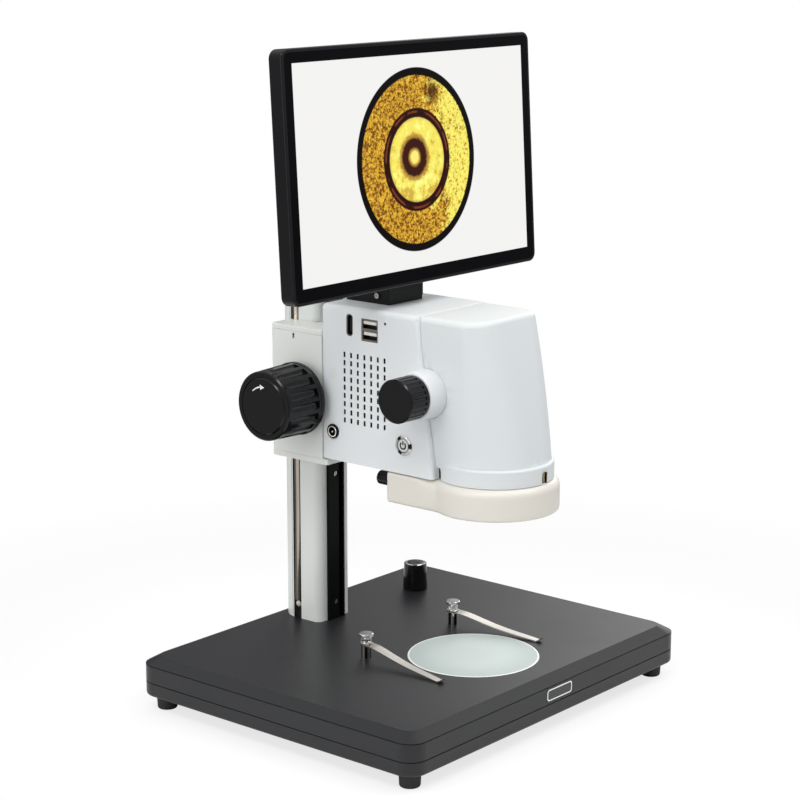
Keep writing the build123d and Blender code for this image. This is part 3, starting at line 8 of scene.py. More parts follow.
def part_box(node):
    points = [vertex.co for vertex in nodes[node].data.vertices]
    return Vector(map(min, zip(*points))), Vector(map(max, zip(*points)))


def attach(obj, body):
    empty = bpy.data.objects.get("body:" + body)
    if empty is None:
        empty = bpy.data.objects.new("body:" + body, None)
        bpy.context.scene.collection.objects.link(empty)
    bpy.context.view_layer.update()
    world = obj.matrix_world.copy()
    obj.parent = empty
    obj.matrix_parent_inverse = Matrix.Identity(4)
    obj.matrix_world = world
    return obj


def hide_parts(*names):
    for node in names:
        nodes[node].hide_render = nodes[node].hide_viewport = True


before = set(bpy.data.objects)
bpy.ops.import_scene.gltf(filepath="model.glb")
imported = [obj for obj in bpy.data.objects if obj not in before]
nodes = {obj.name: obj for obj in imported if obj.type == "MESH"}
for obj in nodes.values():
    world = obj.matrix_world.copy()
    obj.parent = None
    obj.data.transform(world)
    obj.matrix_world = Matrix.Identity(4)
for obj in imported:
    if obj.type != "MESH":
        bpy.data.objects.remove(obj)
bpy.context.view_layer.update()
scene = bpy.context.scene
MM = 0.001


# ---- camera ----
# A long lens that stands well back, a little above the deck and turned towards the connectors.
# From there the column stays upright, and the deck shows as a flat diamond.
AZIMUTH = math.radians(-49.929)
ELEVATION = math.radians(12.624)
LENS_MM = 100.17
SENSOR_MM = 36
EYE = Vector((-1198.40, -994.55, 568.44)) * MM

back = Vector((
    math.sin(AZIMUTH) * math.cos(ELEVATION),
    -math.cos(AZIMUTH) * math.cos(ELEVATION),
    math.sin(ELEVATION),
))
right = Vector((math.cos(AZIMUTH), math.sin(AZIMUTH), 0))
up = back.cross(right)
camera_data = bpy.data.cameras.new("camera")
camera_data.sensor_fit = "HORIZONTAL"
camera_data.sensor_width = SENSOR_MM
camera_data.lens = LENS_MM
camera = bpy.data.objects.new("camera", camera_data)
camera.matrix_world = Matrix((
    (right.x, up.x, back.x, EYE.x),
    (right.y, up.y, back.y, EYE.y),
    (right.z, up.z, back.z, EYE.z),
    (0, 0, 0, 1),
))
scene.collection.objects.link(camera)
scene.camera = camera


# ---- base: deck cover and tray ----
# Two pressed steel shells, the deck over the tray, held by screws from below. Both are powder
# coated in a black that stays slightly open-grained and turns grey where it mirrors the room.
class Wire:
    """A shader socket that adds, multiplies and compares like a number."""

    def __init__(self, bench, socket):
        self.bench = bench
        self.socket = socket

    def math(self, operation, first, second=0.0):
        return self.bench.node("Math", {"operation": operation}, {0: first, 1: second})

    def __add__(self, other):
        return self.math("ADD", self, other)

    def __radd__(self, other):
        return self.math("ADD", other, self)

    def __sub__(self, other):
        return self.math("SUBTRACT", self, other)

    def __rsub__(self, other):
        return self.math("SUBTRACT", other, self)

    def __mul__(self, other):
        return self.math("MULTIPLY", self, other)

    def __rmul__(self, other):
        return self.math("MULTIPLY", other, self)

    def __pow__(self, other):
        return self.math("POWER", self, other)

    def __abs__(self):
        return self.math("ABSOLUTE", self)

    def __gt__(self, other):
        return self.math("GREATER_THAN", self, other)

    def __lt__(self, other):
        return self.math("LESS_THAN", self, other)


class Bench:
    """A node tree being wired, with the few nodes that the finishes share."""

    def __init__(self, tree):
        self.tree = tree

    def node(self, kind, settings=None, inputs=None, out=0):
        """Adds a node: its type, its settings, then the values or wires of its sockets."""
        made = self.tree.nodes.new("ShaderNode" + kind)
        for key, value in (settings or {}).items():
            setattr(made, key, value)
        for key, value in (inputs or {}).items():
            self.feed(made.inputs[key], value)
        return Wire(self, made.outputs[out])

    def feed(self, socket, value):
        if isinstance(value, Wire):
            self.tree.links.new(value.socket, socket)
        elif isinstance(value, tuple) and socket.type == "RGBA":
            socket.default_value = (*value, 1)
        else:
            socket.default_value = value

    def spot(self):
        return self.node("TexCoord", out="Object")

    def axes(self):
        """The place on the part along X, Y and Z, in millimetres."""
        in_mm = self.node("VectorMath", {"operation": "SCALE"}, {0: self.spot(), "Scale": 1 / MM})
        return [self.node("SeparateXYZ", inputs={0: in_mm}, out=axis) for axis in range(3)]

    def noise(self, size, detail=2.0, stretch=(1, 1, 1), roughness=0.5):
        """Soft noise whose blotches are about the given size in millimetres."""
        place = self.node("VectorMath", {"operation": "MULTIPLY"}, {0: self.spot(), 1: stretch})
        return self.node("TexNoise", inputs={
            "Vector": place, "Scale": 1 / (size * MM), "Detail": detail, "Roughness": roughness,
        })

    def step(self, wire, low, high):
        """A smooth rise from 0 at low to 1 at high, or a fall where low is the larger."""
        return self.node("MapRange", {"interpolation_type": "SMOOTHSTEP"}, {
            "Value": wire, "From Min": low, "From Max": high,
        })

    def mix(self, share, first, second):
        return self.node("Mix", {"data_type": "RGBA"}, {0: share, 6: first, 7: second}, out=2)

    def tone(self, colour, share):
        return self.node("VectorMath", {"operation": "SCALE"}, {0: colour, "Scale": share})

    def bump(self, height, depth):
        """Relief: the height from 0 to 1 stands for a depth in millimetres."""
        return self.node("Bump", inputs={"Strength": 1.0, "Distance": depth * MM, "Height": height})


def finish(name, vary, **fixed):
    """A material: vary wires what changes over the surface, fixed holds what doesn't."""
    made = bpy.data.materials.new(name)
    made.use_nodes = True
    skin = made.node_tree.nodes["Principled BSDF"]
    bench = Bench(made.node_tree)
    for socket, value in fixed.items():
        bench.feed(skin.inputs[socket.replace("_", " ")], value)
    for socket, wire in vary(bench).items():
        bench.feed(skin.inputs[socket], wire)
    return made


SLOW_BLOTCH = 70.0


def grained(colour, roughness, grain, depth, drift=0.05, gloss_drift=0.05):
    """A coat or a moulding: fine grain in relief, with a slow drift in tone and in gloss."""
    def vary(bench):
        slow = bench.noise(SLOW_BLOTCH, 3.0)
        fine = bench.noise(grain, 2.0)
        return {
            "Base Color": bench.tone(colour, 1 + (slow - 0.5) * drift + (fine - 0.5) * drift),
            "Roughness": roughness + (slow - 0.5) * gloss_drift + (fine - 0.5) * gloss_drift,
            "Normal": bench.bump(fine, depth),
        }
    return vary


def wear(material, *names):
    """Gives CAD nodes a finish through their material slots."""
    for name in names:
        node = nodes[name]
        if not node.material_slots:
            node.data.materials.append(material)
        for place in node.material_slots:
            place.material = material


BASE_BLACK = (0.0125, 0.013, 0.0145)
powder_coat = grained(
    BASE_BLACK, roughness=0.38, grain=0.55, depth=0.014, drift=0.16, gloss_drift=0.10
)
base_paint = finish("base_paint", powder_coat, Specular_IOR_Level=0.36)
wear(base_paint, "base_top_cover", "base_bottom_cover")


# ---- feet ----
# Four turned rubber feet pushed into the tray's corners, to keep the stand from creeping on the
# bench. The rubber is dead matt, with a dusting of grey.
FOOT_BLACK = (0.012, 0.012, 0.012)
rubber = grained(FOOT_BLACK, roughness=0.72, grain=0.4, depth=0.03, drift=0.3)
wear(finish("foot_rubber", rubber), "rubber_feet")


# ---- stage glass ----
# A thick frosted disc dropped into the deck. Its sawn edge is polished and carries a painted
# highlight line, and the middle is painted paler than the border as a glow from the lamp board under
# it.
STAGE_CLEAR_TO = 18.0
STAGE_POLISHED_EDGE = 46.4
STAGE_EDGE_BLUR = 0.5
STAGE_PAINTED_GLOW = (0.57, 0.64, 0.615)
STAGE_DEEP = (0.46, 0.53, 0.50)
STAGE_RIM_PAINTED_HIGHLIGHT = (0.97, 1.0, 0.98)
FROST_GRAIN = 0.5
FROST_DEPTH = 0.006
stage_low, stage_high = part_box("stage_plate")
stage_centre = (stage_low + stage_high) / 2 / MM


def distance(across, upright, middle=(0, 0)):
    """How far a place lies from a middle, in the plane of two axes."""
    return ((across - middle[0]) ** 2 + (upright - middle[1]) ** 2) ** 0.5


def frosted(bench):
    x, y, z = bench.axes()
    reach = distance(x, y, stage_centre)
    frost = bench.noise(FROST_GRAIN, 3.0)
    # painted light: a paler glow in the middle, and a painted highlight line round the polished edge
    border = bench.step(reach, STAGE_CLEAR_TO, STAGE_POLISHED_EDGE)
    edge = bench.step(reach, STAGE_POLISHED_EDGE - STAGE_EDGE_BLUR, STAGE_POLISHED_EDGE)
    body = bench.tone(bench.mix(border, STAGE_PAINTED_GLOW, STAGE_DEEP), 0.99 + frost * 0.02)
    return {
        "Base Color": bench.mix(edge, body, STAGE_RIM_PAINTED_HIGHLIGHT),
        "Roughness": 0.42 - edge * 0.3 + (frost - 0.5) * 0.06,
        "Normal": bench.bump(frost, FROST_DEPTH),
    }


wear(finish("frosted_glass", frosted), "stage_plate")


# ---- steel: rods, shafts, screws ----
# Ground and turned steel, left bright under a film of oil. The long rods are drawn along Z, so
# their fine lines run upright. A warm painted reflection streak runs down each rod, with painted
# shade round it, and the rods are darker towards the foot.
OIL_BLOTCH = 24.0


def brushed(colour, roughness, line, stretch=(1, 1, 1), depth=0.004):
    """Bright metal with fine lines, drawn out by the stretch of its noise."""
    def vary(bench):
        lines = bench.noise(line, 3.0, stretch)
        film = bench.noise(OIL_BLOTCH, 2.0)
        return {
            "Base Color": bench.tone(colour, 0.93 + lines * 0.14),
            "Roughness": roughness + (lines - 0.5) * 0.16 + (film - 0.5) * 0.08,
            "Normal": bench.bump(lines, depth),
        }
    return vary


def sectors(bench, across, upright, count, turn, edge):
    """Sectors round a middle, for painted reflections: 1 in the light ones and 0 in the dark, with soft
    edges.
    """
    angle = across.math("ARCTAN2", upright, across)
    return bench.step(across.math("COSINE", angle * count + turn), *edge)


STEEL = (0.60, 0.57, 0.52)
ROD_TONE = (0.66, 0.58, 0.49)
ROD_PLACE = (16.0, 99.2)
ROD_PAINTED_STREAK_TURN = 0.5
ROD_PAINTED_STREAK_EDGE = (0.86, 0.99)
ROD_PAINTED_STREAK_GAIN = 1.1
ROD_PAINTED_SHADE = 0.3
ROD_DARKENING_RISE = (60.0, 230.0)
ROD_FOOT_TONE = 0.4


def oiled(bench):
    """Drawn bright steel with a painted reflection streak and painted shade, darker towards the foot.
    """
    x, y, z = bench.axes()
    coat = brushed(ROD_TONE, roughness=0.16, line=0.5, stretch=(1, 1, 0.02))(bench)
    upward_share = bench.step(z, *ROD_DARKENING_RISE)
    # painted reflection: a bright streak on one side of each rod, painted shade on the rest
    outward = abs(x) - ROD_PLACE[0]
    painted_streak = sectors(bench, outward, y - ROD_PLACE[1], 1, ROD_PAINTED_STREAK_TURN, ROD_PAINTED_STREAK_EDGE)
    foot_dimming = ROD_FOOT_TONE + upward_share * (1 - ROD_FOOT_TONE)
    coat["Base Color"] = bench.tone(
        coat["Base Color"], (ROD_PAINTED_SHADE + painted_streak * ROD_PAINTED_STREAK_GAIN) * foot_dimming
    )
    return coat


turned_steel = brushed(STEEL, roughness=0.24, line=0.3)
wear(finish("rod_steel", oiled, Metallic=1.0), "guide_rods")
wear(
    finish("screw_steel", turned_steel, Metallic=1.0), "base_screws", "column_screws",
    "column_bolts", "plate_screws", "focus_pinion_shaft", "zoom_pinion_shaft", "monitor_screws",
)


# ---- clip posts and thumb screws ----
# Nickelled posts set in the deck. Each carries a thumb screw turned from bar, with a knurled
# waist under a flat head, that clamps the clip below it.
CHROME = (0.66, 0.65, 0.63)
POST_CHROME = (0.66, 0.64, 0.61)
POST_PAINTED_SHADE = (0.035, 0.030, 0.025)
POST_MIDDLE = (-3.5, 0.5)
POST_SPREAD = 49.5
POST_PAINTED_BANDS = 5
POST_PAINTED_BAND_EDGE = (-0.3, 0.6)
HANDLING_BLOTCH = 6.0


def bright(colour, roughness):
    """Plated metal: mirror bright, with the faint haze of handling."""
    def vary(bench):
        haze = bench.noise(HANDLING_BLOTCH, 3.0)
        return {
            "Base Color": bench.tone(colour, 0.96 + haze * 0.08),
            "Roughness": roughness + haze * 0.07,
        }
    return vary


def chrome_with_painted_bands(bench):
    """Drawn bar, plated, with painted reflection bands, dark and bright, running up it."""
    x, y, z = bench.axes()
    coat = bright(POST_CHROME, roughness=0.06)(bench)
    # painted reflection: dark and bright bands set by the angle round each post
    out = abs(x - POST_MIDDLE[0]) - POST_SPREAD
    painted_band = sectors(bench, out, y - POST_MIDDLE[1], POST_PAINTED_BANDS, 0.0, POST_PAINTED_BAND_EDGE)
    coat["Base Color"] = bench.mix(painted_band, POST_PAINTED_SHADE, coat["Base Color"])
    return coat


wear(finish("chrome_with_painted_bands", chrome_with_painted_bands, Metallic=1.0), "clip_posts")
bright_chrome = finish("bright_chrome", bright(CHROME, roughness=0.06), Metallic=1.0)


def turned(profile, place, steps=64, ripple=None, closed=True):
    """A turned form: (radius, height) points spun about Z, closed at both ends or left open.

    ripple(angle, height) gives how deep a groove lies there, in millimetres.
    """
    form = bmesh.new()
    rings = []
    for radius, height in profile:
        ring = []
        for step in range(steps):
            angle = 2 * math.pi * step / steps
            reach = (radius - (ripple(angle, height) if ripple else 0)) * MM
            ring.append(form.verts.new((reach * math.cos(angle), reach * math.sin(angle), height * MM)))
        rings.append(ring)
    for low, high in zip(rings, rings[1:]):
        for step in range(steps):
            after = (step + 1) % steps
            form.faces.new((low[step], low[after], high[after], high[step]))
    if closed:
        form.faces.new(rings[0][::-1])
        form.faces.new(rings[-1])
    bmesh.ops.transform(form, matrix=place, verts=form.verts)
    return form


def joined(forms):
    """Several forms in one."""
    whole = bmesh.new()
    for form in forms:
        part_mesh = bpy.data.meshes.new("part")
        form.to_mesh(part_mesh)
        form.free()
        whole.from_mesh(part_mesh)
        bpy.data.meshes.remove(part_mesh)
    return whole


def add_piece(name, form, material, body, stands_for=(), crease=40):
    """Puts a form into the scene as a piece that rides on a body."""
    bmesh.ops.recalc_face_normals(form, faces=form.faces)
    mesh = bpy.data.meshes.new(name)
    form.to_mesh(mesh)
    form.free()
    mesh.materials.append(material)
    mesh.shade_smooth()
    mesh.set_sharp_from_angle(angle=math.radians(crease))
    made = bpy.data.objects.new(name, mesh)
    scene.collection.objects.link(made)
    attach(made, body)
    if stands_for:
        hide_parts(*stands_for)
    return made


THUMB_PROFILE = [
    (1.7, 0.0), (4.2, 0.0), (4.4, 0.2), (4.4, 0.6), (4.2, 0.8), (3.2, 0.8), (3.2, 1.5), (3.7, 1.7),
    (3.8, 2.0), (3.8, 3.6), (3.5, 3.9), (2.6, 4.1), (2.4, 4.7), (2.6, 5.3), (4.9, 5.4), (5.3, 5.7),
    (5.3, 6.9), (5.2, 7.3), (4.8, 7.6), (3.0, 7.7), (0.5, 7.7),
]
THUMB_STEPS = 120
KNURL_FROM = 1.9
KNURL_TO = 3.7
KNURL_TEETH = 30
KNURL_DEPTH = 0.44


def knurl(angle, height):
    if not KNURL_FROM < height < KNURL_TO:
        return 0
    return KNURL_DEPTH / 2 * (1 + math.cos(KNURL_TEETH * angle))


thumb_low, thumb_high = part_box("clip_screws")
thumb_y = (thumb_low.y + thumb_high.y) / 2
thumb_reach = max(radius for radius, height in THUMB_PROFILE) * MM
thumb_xs = (thumb_low.x + thumb_reach, thumb_high.x - thumb_reach)
thumb_screws = joined([
    turned(THUMB_PROFILE, Matrix.Translation((x, thumb_y, thumb_low.z)), THUMB_STEPS, knurl)
    for x in thumb_xs
])
add_piece(
    "thumb_screws", thumb_screws, bright_chrome, "base", ["clip_screws"], crease=28
)


# ---- spring clips ----
# Two strips of spring steel, bent down to the glass and polished, so that they mirror the room
# in a warm cream. Each turns on its post under the thumb screw.
SPRING_TONE = (0.47, 0.445, 0.415)
BLADE_LENGTH = 77.0
BLADE_SAG = 1.7
BLADE_CUTS = 18
spring_steel = finish("spring_steel", brushed(
    SPRING_TONE, roughness=0.34, line=0.9, stretch=(0.15, 0.02, 0.2), depth=0.003
), Metallic=1.0)


def sprung_blade(node_name, post_x):
    """A clip blade in its set curve: it dips between the post and the tip."""
    form = bmesh.new()
    form.from_mesh(nodes[node_name].data)
    for cut in range(1, BLADE_CUTS):
        across = Vector((0, thumb_y - BLADE_LENGTH * MM * cut / BLADE_CUTS, 0))
        everything = form.verts[:] + form.edges[:] + form.faces[:]
        bmesh.ops.bisect_plane(form, geom=everything, plane_co=across, plane_no=(0, 1, 0))
    for point in form.verts:
        reach = math.hypot(point.co.x - post_x, point.co.y - thumb_y) / MM
        share = min(reach / BLADE_LENGTH, 1)
        # the 16 brings the curve to 1 in the middle of the blade
        point.co.z -= BLADE_SAG * MM * 16 * share ** 2 * (1 - share) ** 2
    return form


for side, post_x in zip(("left", "right"), thumb_xs):
    blade_name = side + "_clip_blade"
    add_piece(
        side + "_spring_blade", sprung_blade(blade_name, post_x), spring_steel, side + "_clip",
        [blade_name], crease=30,
    )


# ---- badge ----
# A small rounded plate set in the front edge: black enamel inside a bright raised border. It
# carries no lettering.
BADGE_METAL = (0.72, 0.73, 0.74)
BADGE_ENAMEL = (0.012, 0.012, 0.014)
BADGE_BORDER_RISE = 0.16
BADGE_FACE_EDGE = (0.4, 0.7)
badge_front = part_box("badge_plate")[0].y / MM


def enamelled(bench):
    x, y, z = bench.axes()
    haze = bench.noise(3.0, 2.0)
    depth = (y - badge_front) * (1 / BADGE_BORDER_RISE)
    face = bench.step(depth, *BADGE_FACE_EDGE)
    return {
        "Base Color": bench.mix(face, BADGE_METAL, BADGE_ENAMEL),
        "Metallic": 1 - face,
        "Roughness": 0.22 + haze * 0.1,
    }


wear(finish("badge_enamel", enamelled), "badge_plate")


# ---- stage dimmer ----
# A ribbed black knob on the deck's far corner, with a bright ring let into its top round a dark
# disc. It is pressed on the shaft of a plain moulded control under the deck.
KNOB_BLACK = (0.003, 0.003, 0.0038)
TRIM_BLACK = (0.0065, 0.0065, 0.0075)
DISC_PROFILE = [(6.3, -0.6), (6.4, -0.2), (6.3, 0.0), (5.9, 0.12), (3.0, 0.0), (0.4, -0.05)]
DISC_DROP = 0.2 * MM
knob_moulding = grained(KNOB_BLACK, roughness=0.15, grain=0.7, depth=0.004, drift=0.2)
knob_black = finish("knob_black", knob_moulding, Specular_IOR_Level=0.32)
trim_texture = grained(TRIM_BLACK, roughness=0.4, grain=0.5, depth=0.01, drift=0.15)
trim_black = finish("trim_black", trim_texture, Specular_IOR_Level=0.2)
wear(knob_black, "stage_dimmer_knob")
wear(bright_chrome, "stage_dimmer_ring")
wear(trim_black, "dimmer_control")
dimmer_low, dimmer_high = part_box("stage_dimmer_ring")
dimmer_centre = (dimmer_low + dimmer_high) / 2
dimmer_place = Matrix.Translation((dimmer_centre.x, dimmer_centre.y, dimmer_high.z - DISC_DROP))
add_piece(
    "dimmer_disc", turned(DISC_PROFILE, dimmer_place), knob_black, "stage_dimmer"
)


# ---- circuit boards ----
# Etched boards under green lacquer, one for each lamp, one in the head and one in the screen.
# They sit inside their covers, where only the vents and seams give a sight of them.
TRACK_SCALE = 260.0
TRACK_EDGE = (0.04, 0.07)
BARE_LACQUER = (0.16, 0.30, 0.14)
COPPER_LACQUER = (0.035, 0.16, 0.075)


def etched(bench):
    tracks = bench.node("TexVoronoi", {"feature": "DISTANCE_TO_EDGE"}, {
        "Vector": bench.spot(), "Scale": TRACK_SCALE,
    })
    copper = bench.step(tracks, *TRACK_EDGE)
    return {
        "Base Color": bench.mix(copper, BARE_LACQUER, COPPER_LACQUER),
        "Roughness": 0.35 + bench.noise(2.0) * 0.1,
        "Normal": bench.bump(copper, 0.02),
    }


board_green = finish("board_green", etched)
wear(board_green, "stage_lamp_board", "main_board", "ring_light_board", "monitor_board")


# ---- column ----
# A drawn aluminium bar with a smooth pale coat, shouldered in front and round behind. Grooves
# down its sides hold the rods, and a moulded cap closes its top.
COLUMN_GREY = (0.75, 0.77, 0.745)
GROOVE_PAINTED_SHADE = (0.030, 0.026, 0.021)
DEEP_BLACK = (0.004, 0.004, 0.004)
GROOVE_REACH = 5.6
COLUMN_SIDE = 17.9
CHANNEL_HALF_WIDTH = 8.6
CHANNEL_BACK = 88.0
column_coat = grained(COLUMN_GREY, roughness=0.3, grain=1.2, depth=0.004, drift=0.03)


def channelled(bench):
    """The pale coat, with painted shade: dark brown in the rod grooves and black behind the strip."""
    x, y, z = bench.axes()
    coat = column_coat(bench)
    # painted shade in the recesses: the rod grooves and the channel behind the strip
    groove = (distance(abs(x), y, ROD_PLACE) < GROOVE_REACH) * (abs(x) < COLUMN_SIDE)
    channel = (abs(x) < CHANNEL_HALF_WIDTH) * (y < CHANNEL_BACK)
    coat["Base Color"] = bench.mix(groove, coat["Base Color"], GROOVE_PAINTED_SHADE)
    coat["Base Color"] = bench.mix(channel, coat["Base Color"], DEEP_BLACK)
    return coat


wear(finish("column_paint", channelled), "column")
wear(trim_black, "column_cap")


# ---- front strip and rack ----
# A black steel strip screwed to the column's front, with faint drawing lines down it. The rack
# lies sunk in a slot beside the screws, greased and nearly black.
STRIP_BLACK = (0.003, 0.003, 0.0033)


def drawn(bench):
    lines = bench.noise(0.9, 2.0, (1, 1, 0.01))
    return {
        "Base Color": bench.tone(STRIP_BLACK, 0.8 + lines * 0.6),
        "Roughness": 0.42 + (lines - 0.5) * 0.2,
        "Normal": bench.bump(lines, 0.01),
    }


strip_black = finish("strip_black", drawn, Specular_IOR_Level=0.08)
wear(strip_black, "column_strip", "focus_rack")


# ---- carriage ----
# A cast block that rides the rods on brass shoes, closed above and below by machined plates and
# coated in a smooth pale grey, a shade warmer than the mouldings in front of it.
CARRIAGE_GREY = (0.79, 0.81, 0.775)
BRASS = (0.62, 0.44, 0.20)
carriage_coat = grained(CARRIAGE_GREY, roughness=0.3, grain=1.0, depth=0.005, drift=0.03)
carriage_paint = finish("carriage_paint", carriage_coat)
wear(carriage_paint, "carriage_block", "carriage_top_plate", "carriage_bottom_plate")
bush_brass = finish("bush_brass", brushed(BRASS, roughness=0.28, line=0.3), Metallic=1.0)
wear(bush_brass, "guide_shoes", "shaft_bushes", "cover_screws")


# ---- focus knobs ----
# Moulded black knobs with broad rounded flutes, a smooth flange towards the carriage and a cap
# in the end. An arrow printed round the cap shows which way a twist sets the drag.
ARROW_RADIUS = 14.0
ARROW_LINE = 1.1
ARROW_TAIL = 0.6
ARROW_FROM = 46
ARROW_TO = 82
ARROW_HEAD = 1.9
ARROW_TIP = 15
ARROW_BARB = 2
ARROW_NECK = 0.5
ARROW_STEPS = 20
PRINT_RISE = 0.04
PRINT_THICKNESS = 0.06
PRINT_WHITE = (0.86, 0.86, 0.84)
wear(knob_black, "focus_knobs", "knob_caps")
cap_low, cap_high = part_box("knob_caps")
cap_y = (cap_low.y + cap_high.y) / 2
cap_z = (cap_low.z + cap_high.z) / 2


def thickened(form, thickness):
    """Gives a flat form a thickness along X, in millimetres."""
    lifted = bmesh.ops.extrude_face_region(form, geom=form.faces[:])
    points = [item for item in lifted["geom"] if isinstance(item, bmesh.types.BMVert)]
    bmesh.ops.translate(form, vec=(thickness * MM, 0, 0), verts=points)
    return form


def curved_arrow(face_x, outward):
    """A flat arrow bent round the knob's axis, just proud of the cap's face."""
    form = bmesh.new()

    def point(radius, degrees):
        angle = math.radians(degrees)
        y = cap_y + radius * math.cos(angle) * MM
        z = cap_z + radius * math.sin(angle) * MM
        return form.verts.new((face_x + outward * PRINT_RISE * MM, y, z))

    inner, outer = [], []
    for step in range(ARROW_STEPS + 1):
        degrees = ARROW_FROM + (ARROW_TO - ARROW_FROM) * step / ARROW_STEPS
        swell = ARROW_LINE / 2 * (ARROW_TAIL + (1 - ARROW_TAIL) * step / ARROW_STEPS)
        inner.append(point(ARROW_RADIUS - swell, degrees))
        outer.append(point(ARROW_RADIUS + swell, degrees))
    for step in range(ARROW_STEPS):
        form.faces.new((inner[step], inner[step + 1], outer[step + 1], outer[step]))
    form.faces.new((
        point(ARROW_RADIUS - ARROW_HEAD, ARROW_TO - ARROW_BARB),
        point(ARROW_RADIUS, ARROW_TO + ARROW_TIP),
        point(ARROW_RADIUS + ARROW_HEAD, ARROW_TO - ARROW_BARB),
        point(ARROW_RADIUS, ARROW_TO - ARROW_NECK),
    ))
    return thickened(form, -outward * PRINT_THICKNESS)


print_white = finish("print_white", grained(PRINT_WHITE, roughness=0.5, grain=0.3, depth=0.004))
arrows = joined([curved_arrow(cap_low.x, -1), curved_arrow(cap_high.x, 1)])
add_piece("drag_arrows", arrows, print_white, "focus_drive")


# ---- head: rear housing, front cover and base plate ----
# Satin mouldings in a cool off-white. The housing carries the connectors, vents and zoom bosses;
# the raked cover in front slips behind its rolled edge and stands on a round rim.
HOUSING_WHITE = (0.765, 0.79, 0.80)
COVER_WHITE = (0.70, 0.733, 0.742)
LIP_PAINTED_SHADE = (0.63, 0.65, 0.66)
LIP_FRONT = -32.8
LIP_BLUR = 2.0
LIP_LOW = 286.5
PANEL_X = -40.5
PANEL_WALL = 4
# how deep below the skin the dark begins, in an opening of the panel and in a notch of the rim
HOUSING_SKIN = (0.25, 0.5)
RIM_SKIN = (0.15, 0.45)
# the middle and the half size, along Y and Z, of the fields of vents and of sockets
OPENINGS = [((12.3, 231.4), (24.0, 30.0)), ((14.5, 276.0), (17.5, 10.5))]
NOTCH_DEGREES = (-87.5, 148, 32)
NOTCH_WIDTH = 4.6
NOTCH_HEIGHT = 8.6
NOTCH_DEPTH = 4.0
NOTCH_SPARE = 2.0
NOTCH_ARC_STEPS = 12
moulded_white = grained(
    HOUSING_WHITE, roughness=0.44, grain=0.9, depth=0.005, drift=0.02, gloss_drift=0.04
)
raked_white = grained(
    COVER_WHITE, roughness=0.44, grain=0.9, depth=0.005, drift=0.02, gloss_drift=0.04
)
cover_low, cover_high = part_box("head_cover")
rim_radius = (cover_high.x - cover_low.x) / 2 / MM
optic_y = cover_low.y / MM + rim_radius


def vented_white(bench):
    """White outside, with painted shade on the lip over the cover, and unlit black inside an opening.
    """
    x, y, z = bench.axes()
    coat = moulded_white(bench)
    inside = bench.step(x - PANEL_X, *HOUSING_SKIN) * (x < PANEL_X + PANEL_WALL)
    for middle, reach in OPENINGS:
        opening = inside * (abs(y - middle[0]) < reach[0]) * (abs(z - middle[1]) < reach[1])
        coat["Base Color"] = bench.mix(opening, coat["Base Color"], DEEP_BLACK)
    # painted shade: the lip over the cover is greyed to tone down its highlight
    lip = bench.step(LIP_FRONT - y, 0.0, LIP_BLUR) * (z > LIP_LOW)
    coat["Base Color"] = bench.mix(lip, coat["Base Color"], LIP_PAINTED_SHADE)
    return coat


def pocketed_white(bench):
    """White outside, and unlit black in the pockets of the rim's screws."""
    x, y, z = bench.axes()
    coat = raked_white(bench)
    pocket = bench.step(rim_radius - distance(x, y, (0, optic_y)), *RIM_SKIN)
    pocket = pocket * (z < cover_low.z / MM + NOTCH_HEIGHT)
    coat["Base Color"] = bench.mix(pocket, coat["Base Color"], DEEP_BLACK)
    return coat


def notch_cutter(degrees):
    """An arched block that stands in the rim at an angle, ready to be cut away from it."""
    half = NOTCH_WIDTH / 2
    spring = NOTCH_HEIGHT - half
    outline = [(-half, -NOTCH_SPARE), (half, -NOTCH_SPARE)]
    for step in range(NOTCH_ARC_STEPS + 1):
        turn = math.radians(180 * step / NOTCH_ARC_STEPS)
        outline.append((half * math.cos(turn), spring + half * math.sin(turn)))
    form = bmesh.new()
    near = [form.verts.new((-NOTCH_DEPTH * MM, side * MM, height * MM)) for side, height in outline]
    far = [form.verts.new((NOTCH_SPARE * MM, side * MM, height * MM)) for side, height in outline]
    form.faces.new(near)
    form.faces.new(far[::-1])
    for here in range(len(outline)):
        after = (here + 1) % len(outline)
        form.faces.new((near[here], far[here], far[after], near[after]))
    turned_to = Matrix.Rotation(math.radians(degrees), 4, "Z")
    place = Matrix.Translation((0, optic_y * MM, cover_low.z)) @ turned_to
    place = place @ Matrix.Translation((rim_radius * MM, 0, 0))
    bmesh.ops.transform(form, matrix=place, verts=form.verts)
    bmesh.ops.recalc_face_normals(form, faces=form.faces)
    return form


def working_copy(node_name):
    """A copy of a node to shape with modifiers."""
    copy = bpy.data.objects.new("copy", nodes[node_name].data.copy())
    scene.collection.objects.link(copy)
    return copy


def shaped_form(copy):
    """The form of a working copy with its modifiers applied. The copy goes away."""
    bpy.context.view_layer.update()
    graph = bpy.context.evaluated_depsgraph_get()
    shaped = bpy.data.meshes.new_from_object(copy.evaluated_get(graph))
    form = bmesh.new()
    form.from_mesh(shaped)
    bpy.data.objects.remove(copy)
    bpy.data.meshes.remove(shaped)
    return form


def cut_away(node_name, cutters):
    """A node's form with other forms cut out of it."""
    block = working_copy(node_name)
    tools = []
    for cutter in cutters:
        mesh = bpy.data.meshes.new("cutter")
        cutter.to_mesh(mesh)
        cutter.free()
        tool = bpy.data.objects.new("cutter", mesh)
        scene.collection.objects.link(tool)
        cut = block.modifiers.new("cut", "BOOLEAN")
        cut.operation = "DIFFERENCE"
        cut.solver = "EXACT"
        cut.object = tool
        tools.append(tool)
    form = shaped_form(block)
    for tool in tools:
        bpy.data.objects.remove(tool)
    return form


